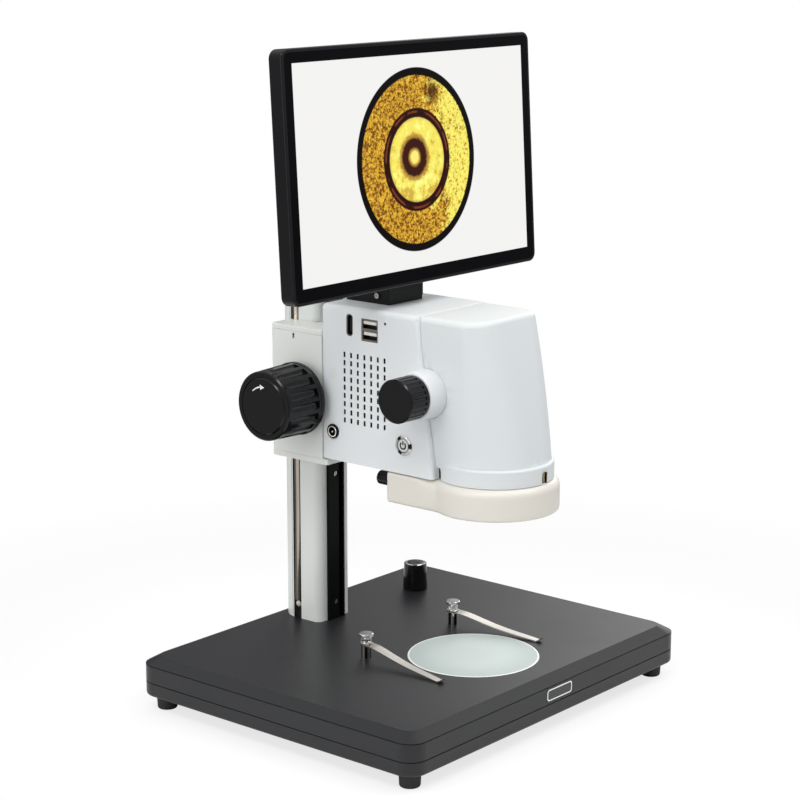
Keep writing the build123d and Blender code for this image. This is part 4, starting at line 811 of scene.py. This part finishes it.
wear(finish("housing_white", vented_white, Specular_IOR_Level=0.3), "head_housing")
wear(finish("plate_white", moulded_white), "head_base_plate")
cover_white = finish("cover_white", pocketed_white, Specular_IOR_Level=0.3)
cover_form = cut_away("head_cover", [notch_cutter(degrees) for degrees in NOTCH_DEGREES])
front_cover = add_piece(
    "front_cover", cover_form, cover_white, "carriage", ["head_cover"], crease=32
)
even_light = front_cover.modifiers.new("even_light", "WEIGHTED_NORMAL")
even_light.keep_sharp = True


# ---- sockets and power inlet ----
# Steel sockets behind cut-outs in the housing's left wall: the video socket a dark slot in a thin
# brown-tinted frame, the twin data socket with white tongues over a black well. The round power
# inlet has a plated lining and pin in a black moulding.
SOCKET_STEEL = (0.27, 0.235, 0.195)
SOCKET_PAINTED_SHADE = (0.006, 0.006, 0.006)
SOCKET_DEPTH = (0.7, 1.7)
TONGUE_WHITE = (0.76, 0.77, 0.75)
TONGUE_SPREAD = 3.9
TONGUE_LIFT = 1.35
TONGUE_HALF_HEIGHT = 1.15
TONGUE_INSET = 1.5
TONGUE_FRONT = 0.25
TONGUE_BACK = 5.0
TONGUE_ROUNDING = 0.25
JACK_LINING = [(3.9, 0.2), (4.1, 0.9), (4.05, 1.6), (3.8, 1.75), (3.3, 1.72), (2.95, 1.3), (2.85, -0.6)]
JACK_PIN = [(0.95, 0.0), (0.95, 1.1), (0.8, 1.45), (0.4, 1.6)]
JACK_PLATE = (0.88, 0.86, 0.82)
LEFTWARD = Matrix.Rotation(math.radians(-90), 4, "Y")


def socket_steel(bench):
    """Brown-tinted steel at the mouth of a socket, partly its own tone and partly painted shade, and
    painted shade, black, down in its well.
    """
    x, y, z = bench.axes()
    # painted shade: the steel turns black the deeper it lies in the wall
    depth = bench.step(x - PANEL_X, *SOCKET_DEPTH)
    scuff = bench.noise(1.5, 3.0)
    return {
        "Base Color": bench.mix(depth, SOCKET_STEEL, SOCKET_PAINTED_SHADE),
        "Metallic": 1 - depth,
        "Roughness": 0.3 + scuff * 0.2,
    }


def bar(low, high, rounding=0.0):
    """A small block between two corners in metres, with its edges eased by millimetres."""
    form = bmesh.new()
    bmesh.ops.create_cube(form, size=1.0)
    size = Vector(high) - Vector(low)
    middle = (Vector(high) + Vector(low)) / 2
    stretch = Matrix.Translation(middle) @ Matrix.Diagonal((*size, 1))
    bmesh.ops.transform(form, matrix=stretch, verts=form.verts)
    if rounding:
        bmesh.ops.bevel(
            form, geom=form.edges[:], offset=rounding * MM, segments=2, affect="EDGES", profile=0.5
        )
    return form


def facing_left(x, y, z):
    """Where a turned form stands when its axis points out of the left wall."""
    return Matrix.Translation((x * MM, y * MM, z * MM)) @ LEFTWARD


wear(finish("port_steel", socket_steel), "hdmi_port", "usb_port")
usb_low, usb_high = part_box("usb_port")
usb_middle_z = (usb_low.z + usb_high.z) / 2
tongues = []
for side in (-1, 1):
    tongue_z = usb_middle_z + side * TONGUE_SPREAD * MM + TONGUE_LIFT * MM
    tongues.append(bar(
        (
            usb_low.x + TONGUE_FRONT * MM,
            usb_low.y + TONGUE_INSET * MM,
            tongue_z - TONGUE_HALF_HEIGHT * MM,
        ),
        (
            usb_low.x + TONGUE_BACK * MM,
            usb_high.y - TONGUE_INSET * MM,
            tongue_z + TONGUE_HALF_HEIGHT * MM,
        ),
        TONGUE_ROUNDING,
    ))
tongue_white = finish("tongue_white", grained(TONGUE_WHITE, roughness=0.4, grain=0.4, depth=0.004))
add_piece("socket_tongues", joined(tongues), tongue_white, "carriage")

jack_moulding = grained(DEEP_BLACK, roughness=0.5, grain=0.4, depth=0.004)
wear(finish("jack_black", jack_moulding, Specular_IOR_Level=0.08), "power_jack")
jack_low, jack_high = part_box("power_jack")
jack_y = (jack_low.y + jack_high.y) / 2 / MM
jack_z = (jack_low.z + jack_high.z) / 2 / MM
jack_place = facing_left(PANEL_X, jack_y, jack_z)
jack_plate = finish("jack_plate", bright(JACK_PLATE, roughness=0.22), Metallic=0.7)
add_piece(
    "jack_lining", turned(JACK_LINING, jack_place, closed=False), jack_plate,
    "carriage",
)
add_piece("jack_pin", turned(JACK_PIN, jack_place), bright_chrome, "carriage")


# ---- status lamp, oil hole and plug ----
# A dark lamp lens beside the sockets, an oil hole in the carriage's side, and a white push plug
# over an unused hole in the housing. Each is a small turned piece pressed in from outside.
LAMP_DARK = (0.02, 0.018, 0.018)
LAMP_PROFILE = [(1.0, -0.3), (1.0, 0.05), (0.75, 0.22), (0.2, 0.3)]
LAMP_PLACE = (-6.9, 281.7)
OIL_HOLE_PROFILE = [(1.05, -0.3), (1.05, 0.02), (0.95, 0.05), (0.2, 0.03)]
OIL_HOLE_PLACE = (81.0, 263.4)
PLUG_WHITE = (0.74, 0.765, 0.755)
PLUG_PROFILE = [(3.9, -0.3), (4.0, 0.02), (3.9, 0.1), (3.5, 0.13), (0.5, 0.13)]
PLUG_PLACE = (41.9, 240.3)
SMALL_STEPS = 32
lamp_dark = finish("lamp_dark", grained(LAMP_DARK, roughness=0.3, grain=0.4, depth=0.002))
plug_white = finish("plug_white", grained(PLUG_WHITE, roughness=0.4, grain=0.8, depth=0.004))
carriage_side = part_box("carriage_block")[0].x / MM
add_piece(
    "status_lamp", turned(LAMP_PROFILE, facing_left(PANEL_X, *LAMP_PLACE), SMALL_STEPS),
    lamp_dark, "carriage",
)
add_piece(
    "oil_hole", turned(OIL_HOLE_PROFILE, facing_left(carriage_side, *OIL_HOLE_PLACE), SMALL_STEPS),
    lamp_dark, "carriage",
)
add_piece(
    "hole_plug", turned(PLUG_PROFILE, facing_left(PANEL_X, *PLUG_PLACE)),
    plug_white, "carriage",
)


# ---- power switch ----
# A chromed surround with a white button that moves in a click. The usual power sign, a ring
# broken by a bar, is printed on the button.
BUTTON_WHITE = (0.66, 0.68, 0.67)
PAINTED_GLINTS = 3
PAINTED_GLINT_TURN = 0.15
PAINTED_GLINT_EDGE = (-0.85, -0.45)
PAINTED_GLINT_DARK = (0.03, 0.026, 0.02)
PAINTED_GLINT_PALE = (0.86, 0.85, 0.83)
BUTTON_GAP = (4.7, 5.5)
GAP_DARK = (0.02, 0.02, 0.02)
SIGN_RADIUS = 2.35
SIGN_LINE = 1.1
SIGN_GAP_DEG = 34
SIGN_STEPS = 40
SIGN_RISE = 0.02
SIGN_THICKNESS = 0.05
SIGN_BAR_FROM = 0.5
SIGN_BAR_TO = 3.2
button_moulding = grained(BUTTON_WHITE, roughness=0.25, grain=0.6, depth=0.003)
wear(finish("button_white", button_moulding, Coat_Weight=0.4), "power_button")
button_low, button_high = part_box("power_button")
button_y = (button_low.y + button_high.y) / 2
button_z = (button_low.z + button_high.z) / 2


def chrome_with_painted_glints(bench):
    """Chrome with painted reflections: bright and dark painted sectors, and a dark gap round the
    button.
    """
    x, y, z = bench.axes()
    across = y - button_y / MM
    upright = z - button_z / MM
    # painted reflection: bright and dark sectors by the angle round the button
    painted_glint = sectors(bench, across, upright, PAINTED_GLINTS, PAINTED_GLINT_TURN, PAINTED_GLINT_EDGE)
    gap = bench.step(distance(across, upright), *BUTTON_GAP)
    tone = bench.mix(painted_glint, PAINTED_GLINT_DARK, PAINTED_GLINT_PALE)
    haze = bench.noise(3.0, 2.0)
    return {
        "Base Color": bench.mix(gap, GAP_DARK, tone),
        "Roughness": 0.08 + haze * 0.06,
    }


def power_sign():
    """A broken ring with an upright bar through the break, in low relief."""
    form = bmesh.new()
    face_x = button_low.x - SIGN_RISE * MM
    half_line = SIGN_LINE / 2
    inner, outer = [], []
    for step in range(SIGN_STEPS + 1):
        turn = SIGN_GAP_DEG + (360 - 2 * SIGN_GAP_DEG) * step / SIGN_STEPS
        angle = math.radians(90 + turn)
        for ring, radius in ((inner, SIGN_RADIUS - half_line), (outer, SIGN_RADIUS + half_line)):
            y = button_y + radius * math.cos(angle) * MM
            z = button_z + radius * math.sin(angle) * MM
            ring.append(form.verts.new((face_x, y, z)))
    for step in range(SIGN_STEPS):
        form.faces.new((inner[step], inner[step + 1], outer[step + 1], outer[step]))
    upright = bar(
        (face_x, button_y - half_line * MM, button_z + SIGN_BAR_FROM * MM),
        (face_x + SIGN_THICKNESS * MM, button_y + half_line * MM, button_z + SIGN_BAR_TO * MM),
    )
    return joined([thickened(form, SIGN_THICKNESS), upright])


wear(finish("chrome_with_painted_glints", chrome_with_painted_glints, Metallic=1.0), "switch_bezel")
sign_ink = grained(DEEP_BLACK, roughness=0.5, grain=0.3, depth=0.002)
sign_black = finish("sign_black", sign_ink, Specular_IOR_Level=0.1)
add_piece("power_sign", power_sign(), sign_black, "power_switch")


# ---- zoom knobs ----
# A pair of finely ribbed black knobs with flat ends. They are moulded like the focus knobs, and
# pressed on the two ends of the zoom shaft.
wear(knob_black, "zoom_knobs")


# ---- optics ----
# Inside the head: a black anodised tube with a sliding lens cell and the camera on top. From
# below only the coated front glass shows, dark with a violet cast.
ANODISED_BLACK = (0.018, 0.018, 0.02)
COATING_DARK = (0.010, 0.008, 0.022)
COATING_VIOLET = (0.016, 0.012, 0.034)
anodised = grained(ANODISED_BLACK, roughness=0.4, grain=0.4, depth=0.006)
wear(finish("lens_black", anodised, Metallic=0.6), "lens_tube", "zoom_lens_group", "camera_module")


def coated_glass(bench):
    smear = bench.noise(5.0, 2.0)
    return {
        "Base Color": bench.mix(smear, COATING_DARK, COATING_VIOLET),
        "Roughness": 0.03 + smear * 0.03,
    }


wear(finish("lens_glass", coated_glass, Coat_Weight=1.0, Coat_Roughness=0.02), "objective_lens")


# ---- ring light ----
# A cream moulding under the head: round under the lens, then running straight back to a square
# tail with a small brightness knob. A milky ring below spreads the light of its lamps.
LAMP_CREAM = (0.74, 0.71, 0.645)
LAMP_MILKY = (0.80, 0.80, 0.77)
RING_VOXEL = 0.8
RING_SMOOTH_PASSES = 10
SHOULDER_Y = -51.0
SHOULDER_REACH = 15.0
SHOULDER_SIDE = 22.0
SHOULDER_PASSES = 60
SHOULDER_SHRINK = 0.8
cream_moulding = grained(LAMP_CREAM, roughness=0.36, grain=0.9, depth=0.006, drift=0.02)
lamp_cream = finish("lamp_cream", cream_moulding, Coat_Weight=0.08, Coat_Roughness=0.3)
milky_moulding = grained(LAMP_MILKY, roughness=0.5, grain=0.5, depth=0.01, drift=0.03)
wear(lamp_cream, "ring_light_cover")
wear(finish("lamp_milky", milky_moulding), "ring_light_diffuser")
wear(knob_black, "ring_light_knob")


def softened(node_name, voxel, passes):
    """A moulded skin over a CAD solid, with every inner and outer edge run together."""
    skin = working_copy(node_name)
    remesh = skin.modifiers.new("remesh", "REMESH")
    remesh.mode = "VOXEL"
    remesh.voxel_size = voxel * MM
    smooth = skin.modifiers.new("smooth", "SMOOTH")
    smooth.factor = 0.5
    smooth.iterations = passes
    return shaped_form(skin)


ring_shell = softened("ring_light_housing", RING_VOXEL, RING_SMOOTH_PASSES)
shoulder = [
    point for point in ring_shell.verts
    if abs(point.co.y / MM - SHOULDER_Y) < SHOULDER_REACH and abs(point.co.x / MM) > SHOULDER_SIDE
]
for smoothing in range(SHOULDER_PASSES):
    reach = SHOULDER_REACH * (1 - SHOULDER_SHRINK * smoothing / SHOULDER_PASSES) * MM
    near = [point for point in shoulder if abs(point.co.y - SHOULDER_Y * MM) < reach]
    bmesh.ops.smooth_vert(
        ring_shell, verts=near, factor=0.5, use_axis_x=True, use_axis_y=True, use_axis_z=False
    )
add_piece(
    "ring_light_shell", ring_shell, lamp_cream, "carriage", ["ring_light_housing"],
    crease=60,
)


# ---- hinge and arm ----
# A black box on the head's top holds a steel pivot, and the arm on it reaches up the screen's
# back. Both are die castings under a fine black texture.
PIN_BRIGHT_TO = 1.9
PIN_BLUR = 0.2
wear(trim_black, "hinge_box", "monitor_arm")
pin_low, pin_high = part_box("hinge_pin")
pin_centre = (pin_low + pin_high) / 2 / MM


def blacked_pin(bench):
    """A steel pin: bright in the middle of its turned end, blacked round it."""
    x, y, z = bench.axes()
    coat = turned_steel(bench)
    reach = distance(y, z, (pin_centre.y, pin_centre.z))
    collar = bench.step(reach, PIN_BRIGHT_TO, PIN_BRIGHT_TO + PIN_BLUR)
    coat["Base Color"] = bench.mix(collar, coat["Base Color"], TRIM_BLACK)
    coat["Metallic"] = 1 - collar
    return coat


wear(finish("blacked_pin", blacked_pin, Specular_IOR_Level=0.2), "hinge_pin")


# ---- screen ----
# A slim black frame round one sheet of glass. The glass is printed black at its border, and the
# display behind it is lit, showing a round brass part with a struck centre on a white ground.
FRAME_BLACK = (0.006, 0.006, 0.0072)
PANEL_DARK = (0.02, 0.02, 0.022)
GLASS_DARK = (0.002, 0.002, 0.003)
GLASS_SMEAR = (0.003, 0.003, 0.004)
SCREEN_TILT = math.radians(3.25)
SCREEN_HALF_WIDTH = 123.75
SCREEN_HALF_HEIGHT = 74.5
SCREEN_EDGE_BLUR = 0.2
SCREEN_LIFT = 0.9
GROUND_WHITE = (0.90, 0.895, 0.885)

# the brass disc as the lens shows it: radii and places in millimetres on the screen
DISC_LIFT = 1.1
DISC_RIM = 64.0
DISC_EDGE = 58.6
RIM_DARK = (0.003, 0.002, 0.0015)
BRASS_SHADE = (0.045, 0.012, 0.001)
DULL_LOW = (0.19, 0.052, 0.003)
DULL_HIGH = (0.84, 0.47, 0.035)
BARE_LOW = (0.50, 0.22, 0.006)
BARE_HIGH = (1.0, 0.90, 0.16)
BARE_EDGE = (0.61, 0.67)
DULL_GRAIN = (0.40, 0.60)
BARE_GRAIN = (0.34, 0.50)
PALE_SPECK = (0.58, 0.68)
DARK_SPECK = (0.42, 0.33)
STAIN_PLACE = (19.0, 46.0)
STAIN_EDGE = (11.0, 2.0)
WELL_OUTER = 36.0
WELL_INNER = 29.5
WELL_LINE = 33.4
WELL_LINE_EDGE = (1.2, 0.3)
WELL_LINE_BREAKS = (0.42, 0.55)
WELL_DARK = (0.022, 0.004, 0.002)
WELL_RED = (0.22, 0.042, 0.020)
INSIDE_YELLOW = (0.95, 0.83, 0.13)
INSIDE_GLINT = (1.0, 1.0, 0.27)
INSIDE_DULL = (0.62, 0.36, 0.05)
CLOUD_BRIGHT = (0.50, 0.62)
CLOUD_DULL = (0.46, 0.36)
STRIKE_PLACE = (-2.7, 1.9)
STRIKE_HEART = 3.0
STRIKE_INNER = (5.2, 7.6)
STRIKE_OUTER = (12.2, 15.0)
STRIKE_DARK = (0.045, 0.009, 0.004)
STRIKE_FRINGE = (0.42, 0.16, 0.02)
STRIKE_PALE = (1.0, 0.87, 0.22)

frame_moulding = grained(FRAME_BLACK, roughness=0.2, grain=0.8, depth=0.004, drift=0.1)
screen_black = finish("screen_black", frame_moulding, Specular_IOR_Level=0.25)
wear(screen_black, "monitor_frame", "monitor_back_cover")
panel_back = grained(PANEL_DARK, roughness=0.5, grain=0.6, depth=0.004)
wear(finish("panel_dark", panel_back), "lcd_panel")
glass_low, glass_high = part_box("monitor_glass")
glass_centre = (glass_low + glass_high) / 2 / MM


def brass_ground(bench, across, upright):
    """Worn brass: dull and mottled towards the left, bare and bright towards the right."""
    patch = bench.noise(16.0, 8.0, roughness=0.75)
    grain = bench.noise(2.6, 4.0, roughness=0.7)
    speck = bench.noise(1.6, 2.0, roughness=0.8)
    bare = bench.step(patch + across * 0.0055 + upright * 0.0006, *BARE_EDGE)
    dull_brass = bench.mix(bench.step(grain, *DULL_GRAIN), DULL_LOW, DULL_HIGH)
    bare_brass = bench.mix(bench.step(grain, *BARE_GRAIN), BARE_LOW, BARE_HIGH)
    brass = bench.mix(bare, dull_brass, bare_brass)
    brass = bench.mix(bench.step(speck, *PALE_SPECK) * 0.7, brass, BARE_HIGH)
    return bench.mix(bench.step(speck, *DARK_SPECK) * 0.8, brass, BRASS_SHADE)


def struck_middle(bench, across, upright, reach, frayed):
    """The bright cup inside the well, with the dark ring of a strike in its middle."""
    cloud = bench.noise(7.0, 6.0, roughness=0.7)
    inside = bench.mix(bench.step(cloud, *CLOUD_BRIGHT), INSIDE_YELLOW, INSIDE_GLINT)
    dulled = bench.step(cloud + upright * 0.003, *CLOUD_DULL)
    inside = bench.mix(dulled * 0.8, inside, INSIDE_DULL)
    worn = bench.step(reach + frayed * 1.5, WELL_INNER - 3, WELL_INNER + 1)
    inside = bench.mix(worn * 0.6, inside, INSIDE_DULL)

    from_strike = distance(across, upright, STRIKE_PLACE) + frayed * 0.5
    inside = bench.mix(bench.step(from_strike, STRIKE_INNER[0], STRIKE_HEART), inside, STRIKE_PALE)
    fringe = bench.step(from_strike, STRIKE_INNER[0] - 1.5, STRIKE_INNER[0] + 0.5)
    fringe = fringe * bench.step(from_strike + frayed, STRIKE_OUTER[1] + 3.0, STRIKE_OUTER[1])
    inside = bench.mix(fringe * 0.8, inside, STRIKE_FRINGE)
    strike = bench.step(from_strike, *STRIKE_INNER)
    strike = strike * bench.step(from_strike + frayed * 0.5, STRIKE_OUTER[1], STRIKE_OUTER[0])
    return bench.mix(strike, inside, STRIKE_DARK)


def display(bench):
    """Black glass with the lit picture behind it, drawn from the middle outwards."""
    x, y, z = bench.axes()
    upright = (z - (glass_centre.z + SCREEN_LIFT)) * (1 / math.cos(SCREEN_TILT))
    lit = bench.step(SCREEN_HALF_WIDTH - abs(x), 0.0, SCREEN_EDGE_BLUR)
    lit = lit * bench.step(SCREEN_HALF_HEIGHT - abs(upright), 0.0, SCREEN_EDGE_BLUR)
    upright = upright - DISC_LIFT
    reach = distance(x, upright)
    frayed = (bench.noise(3.0, 6.0, roughness=0.8) - 0.5) * 5

    brass = brass_ground(bench, x, upright)
    stain = bench.step(distance(x, upright, STAIN_PLACE) + frayed * 2, *STAIN_EDGE)
    brass = bench.mix(stain * 0.85, brass, BRASS_SHADE)
    inside = struck_middle(bench, x, upright, reach, frayed)
    line = bench.step(abs(reach - WELL_LINE), *WELL_LINE_EDGE)
    line = line * bench.step(bench.noise(12.0, 3.0), *WELL_LINE_BREAKS)
    well = bench.mix(line, WELL_DARK, WELL_RED)

    edge = reach + frayed * 0.15
    face = bench.mix(bench.step(edge, WELL_INNER - 0.5, WELL_INNER + 0.5), inside, well)
    face = bench.mix(bench.step(edge, WELL_OUTER - 0.5, WELL_OUTER + 0.5), face, brass)
    edge = reach + frayed * 0.35
    face = bench.mix(bench.step(edge, DISC_EDGE - 0.4, DISC_EDGE + 0.4), face, RIM_DARK)
    face = bench.mix(bench.step(reach, DISC_RIM - 0.3, DISC_RIM + 0.3), face, GROUND_WHITE)
    smear = bench.noise(40.0, 2.0)
    return {
        "Base Color": bench.mix(smear, GLASS_DARK, GLASS_SMEAR),
        "Emission Color": bench.mix(lit, (0.0, 0.0, 0.0), face),
        "Roughness": 0.10 + smear * 0.06,
    }


screen_glass = finish("screen_glass", display, Emission_Strength=1.0, Specular_IOR_Level=0.06)
wear(screen_glass, "monitor_glass")


# ---- floor ----
# A matt white sheet under the feet, wide enough to have no edge in view. It keeps the shadow
# near the stand and runs out to plain white further off.
FLOOR_HALF = 6.0
FLOOR_WHITE = (0.93, 0.93, 0.93)
FLOOR_FAR = (0.35, 0.35, 0.35)
FLOOR_GLOW = 0.75
SHADOW_REACH = 620.0
SHADOW_HEART = 0.3 * SHADOW_REACH
PLAIN_WHITE = (1.0, 1.0, 1.0)
floor_form = bmesh.new()
bmesh.ops.create_grid(floor_form, x_segments=4, y_segments=4, size=FLOOR_HALF)
floor_mesh = bpy.data.meshes.new("floor")
floor_form.to_mesh(floor_mesh)
floor_form.free()
floor = bpy.data.objects.new("floor", floor_mesh)
scene.collection.objects.link(floor)
floor_paint = bpy.data.materials.new("floor_paint")
floor_paint.use_nodes = True
floor_bench = Bench(floor_paint.node_tree)
floor_skin = floor_paint.node_tree.nodes["Principled BSDF"]
floor_skin.inputs["Roughness"].default_value = 0.9
floor_skin.inputs["Specular IOR Level"].default_value = 0.1
floor_x, floor_y = floor_bench.axes()[:2]
far_off = floor_bench.step(distance(floor_x, floor_y), SHADOW_HEART, SHADOW_REACH)
floor_tone = floor_bench.mix(far_off, FLOOR_WHITE, FLOOR_FAR)
floor_bench.feed(floor_skin.inputs["Base Color"], floor_tone)
seen = floor_bench.node("LightPath", out="Is Camera Ray")
glow = floor_bench.node("Emission", inputs={"Color": PLAIN_WHITE, "Strength": 1.0})
glow_share = seen * (FLOOR_GLOW + (1 - FLOOR_GLOW) * far_off)
floor_mix = floor_bench.node("MixShader", inputs={
    0: glow_share, 1: Wire(floor_bench, floor_skin.outputs[0]), 2: glow,
})
floor_output = floor_paint.node_tree.nodes["Material Output"]
floor_bench.feed(floor_output.inputs["Surface"], floor_mix)
floor_mesh.materials.append(floor_paint)


# ---- room ----
# White above and on the right, grey all round, and dim behind the column, where a door stands
# open. The pale parts take their light from it and the black parts mirror it.
WALL_DIRECTION = (0.985, 0.087, 0.15)
WALL_EDGE = (0.76, 0.97)
DOOR_DIRECTION = (0.46, 0.875, 0.15)
DOOR_EDGE = (0.82, 0.97)
CEILING_EDGE = (0.35, 0.9)
ROOM_GREY = (0.50, 0.50, 0.51)
DOOR_DIM = (0.16, 0.16, 0.17)
world = bpy.data.worlds.new("studio")
scene.world = world
world.use_nodes = True
sky = Bench(world.node_tree)


def toward(direction):
    """How nearly a ray runs in a direction: 1 when it does."""
    ray = sky.node("TexCoord", out="Generated")
    return sky.node("VectorMath", {"operation": "DOT_PRODUCT"}, {0: ray, 1: direction}, out=1)


room = sky.mix(sky.step(toward(DOOR_DIRECTION), *DOOR_EDGE), ROOM_GREY, DOOR_DIM)
room = sky.mix(sky.step(toward(WALL_DIRECTION), *WALL_EDGE), room, PLAIN_WHITE)
room = sky.mix(sky.step(toward((0, 0, 1)), *CEILING_EDGE), room, PLAIN_WHITE)
direct = sky.node("LightPath", out="Is Camera Ray")
background = world.node_tree.nodes["Background"]
background.inputs["Strength"].default_value = 1.0
sky.feed(background.inputs["Color"], sky.mix(direct, room, PLAIN_WHITE))


# ---- lamps ----
# Four soft round lamps: the key high in front, a low one on the connector side, one behind and
# a long one over the left that draws a bright line along the upper edges.
LAMPS = (
    # name, place, target, size, power
    ("key_lamp", (0.6, -1.1, 2.0), (0, 0, 0.25), (1.4, 1.4), 13.5),
    ("side_lamp", (-1.9, 0.2, 0.6), (0, 0, 0.2), (1.4, 1.4), 8.0),
    ("back_lamp", (1.8, 0.6, 1.0), (0, 0, 0.2), (1.2, 1.2), 5.5),
    ("top_lamp", (-1.3, -0.4, 1.9), (0, 0, 0.3), (2.3, 0.4), 17.0),
)
for lamp_name, place, target, size, power in LAMPS:
    lamp_data = bpy.data.lights.new(lamp_name, "AREA")
    lamp_data.shape = "ELLIPSE"
    lamp_data.size, lamp_data.size_y = size
    lamp_data.energy = power
    lamp = bpy.data.objects.new(lamp_name, lamp_data)
    aim = (Vector(target) - Vector(place)).to_track_quat("-Z", "Y")
    lamp.matrix_world = Matrix.Translation(place) @ aim.to_matrix().to_4x4()
    scene.collection.objects.link(lamp)
scene.view_settings.view_transform = "Standard"
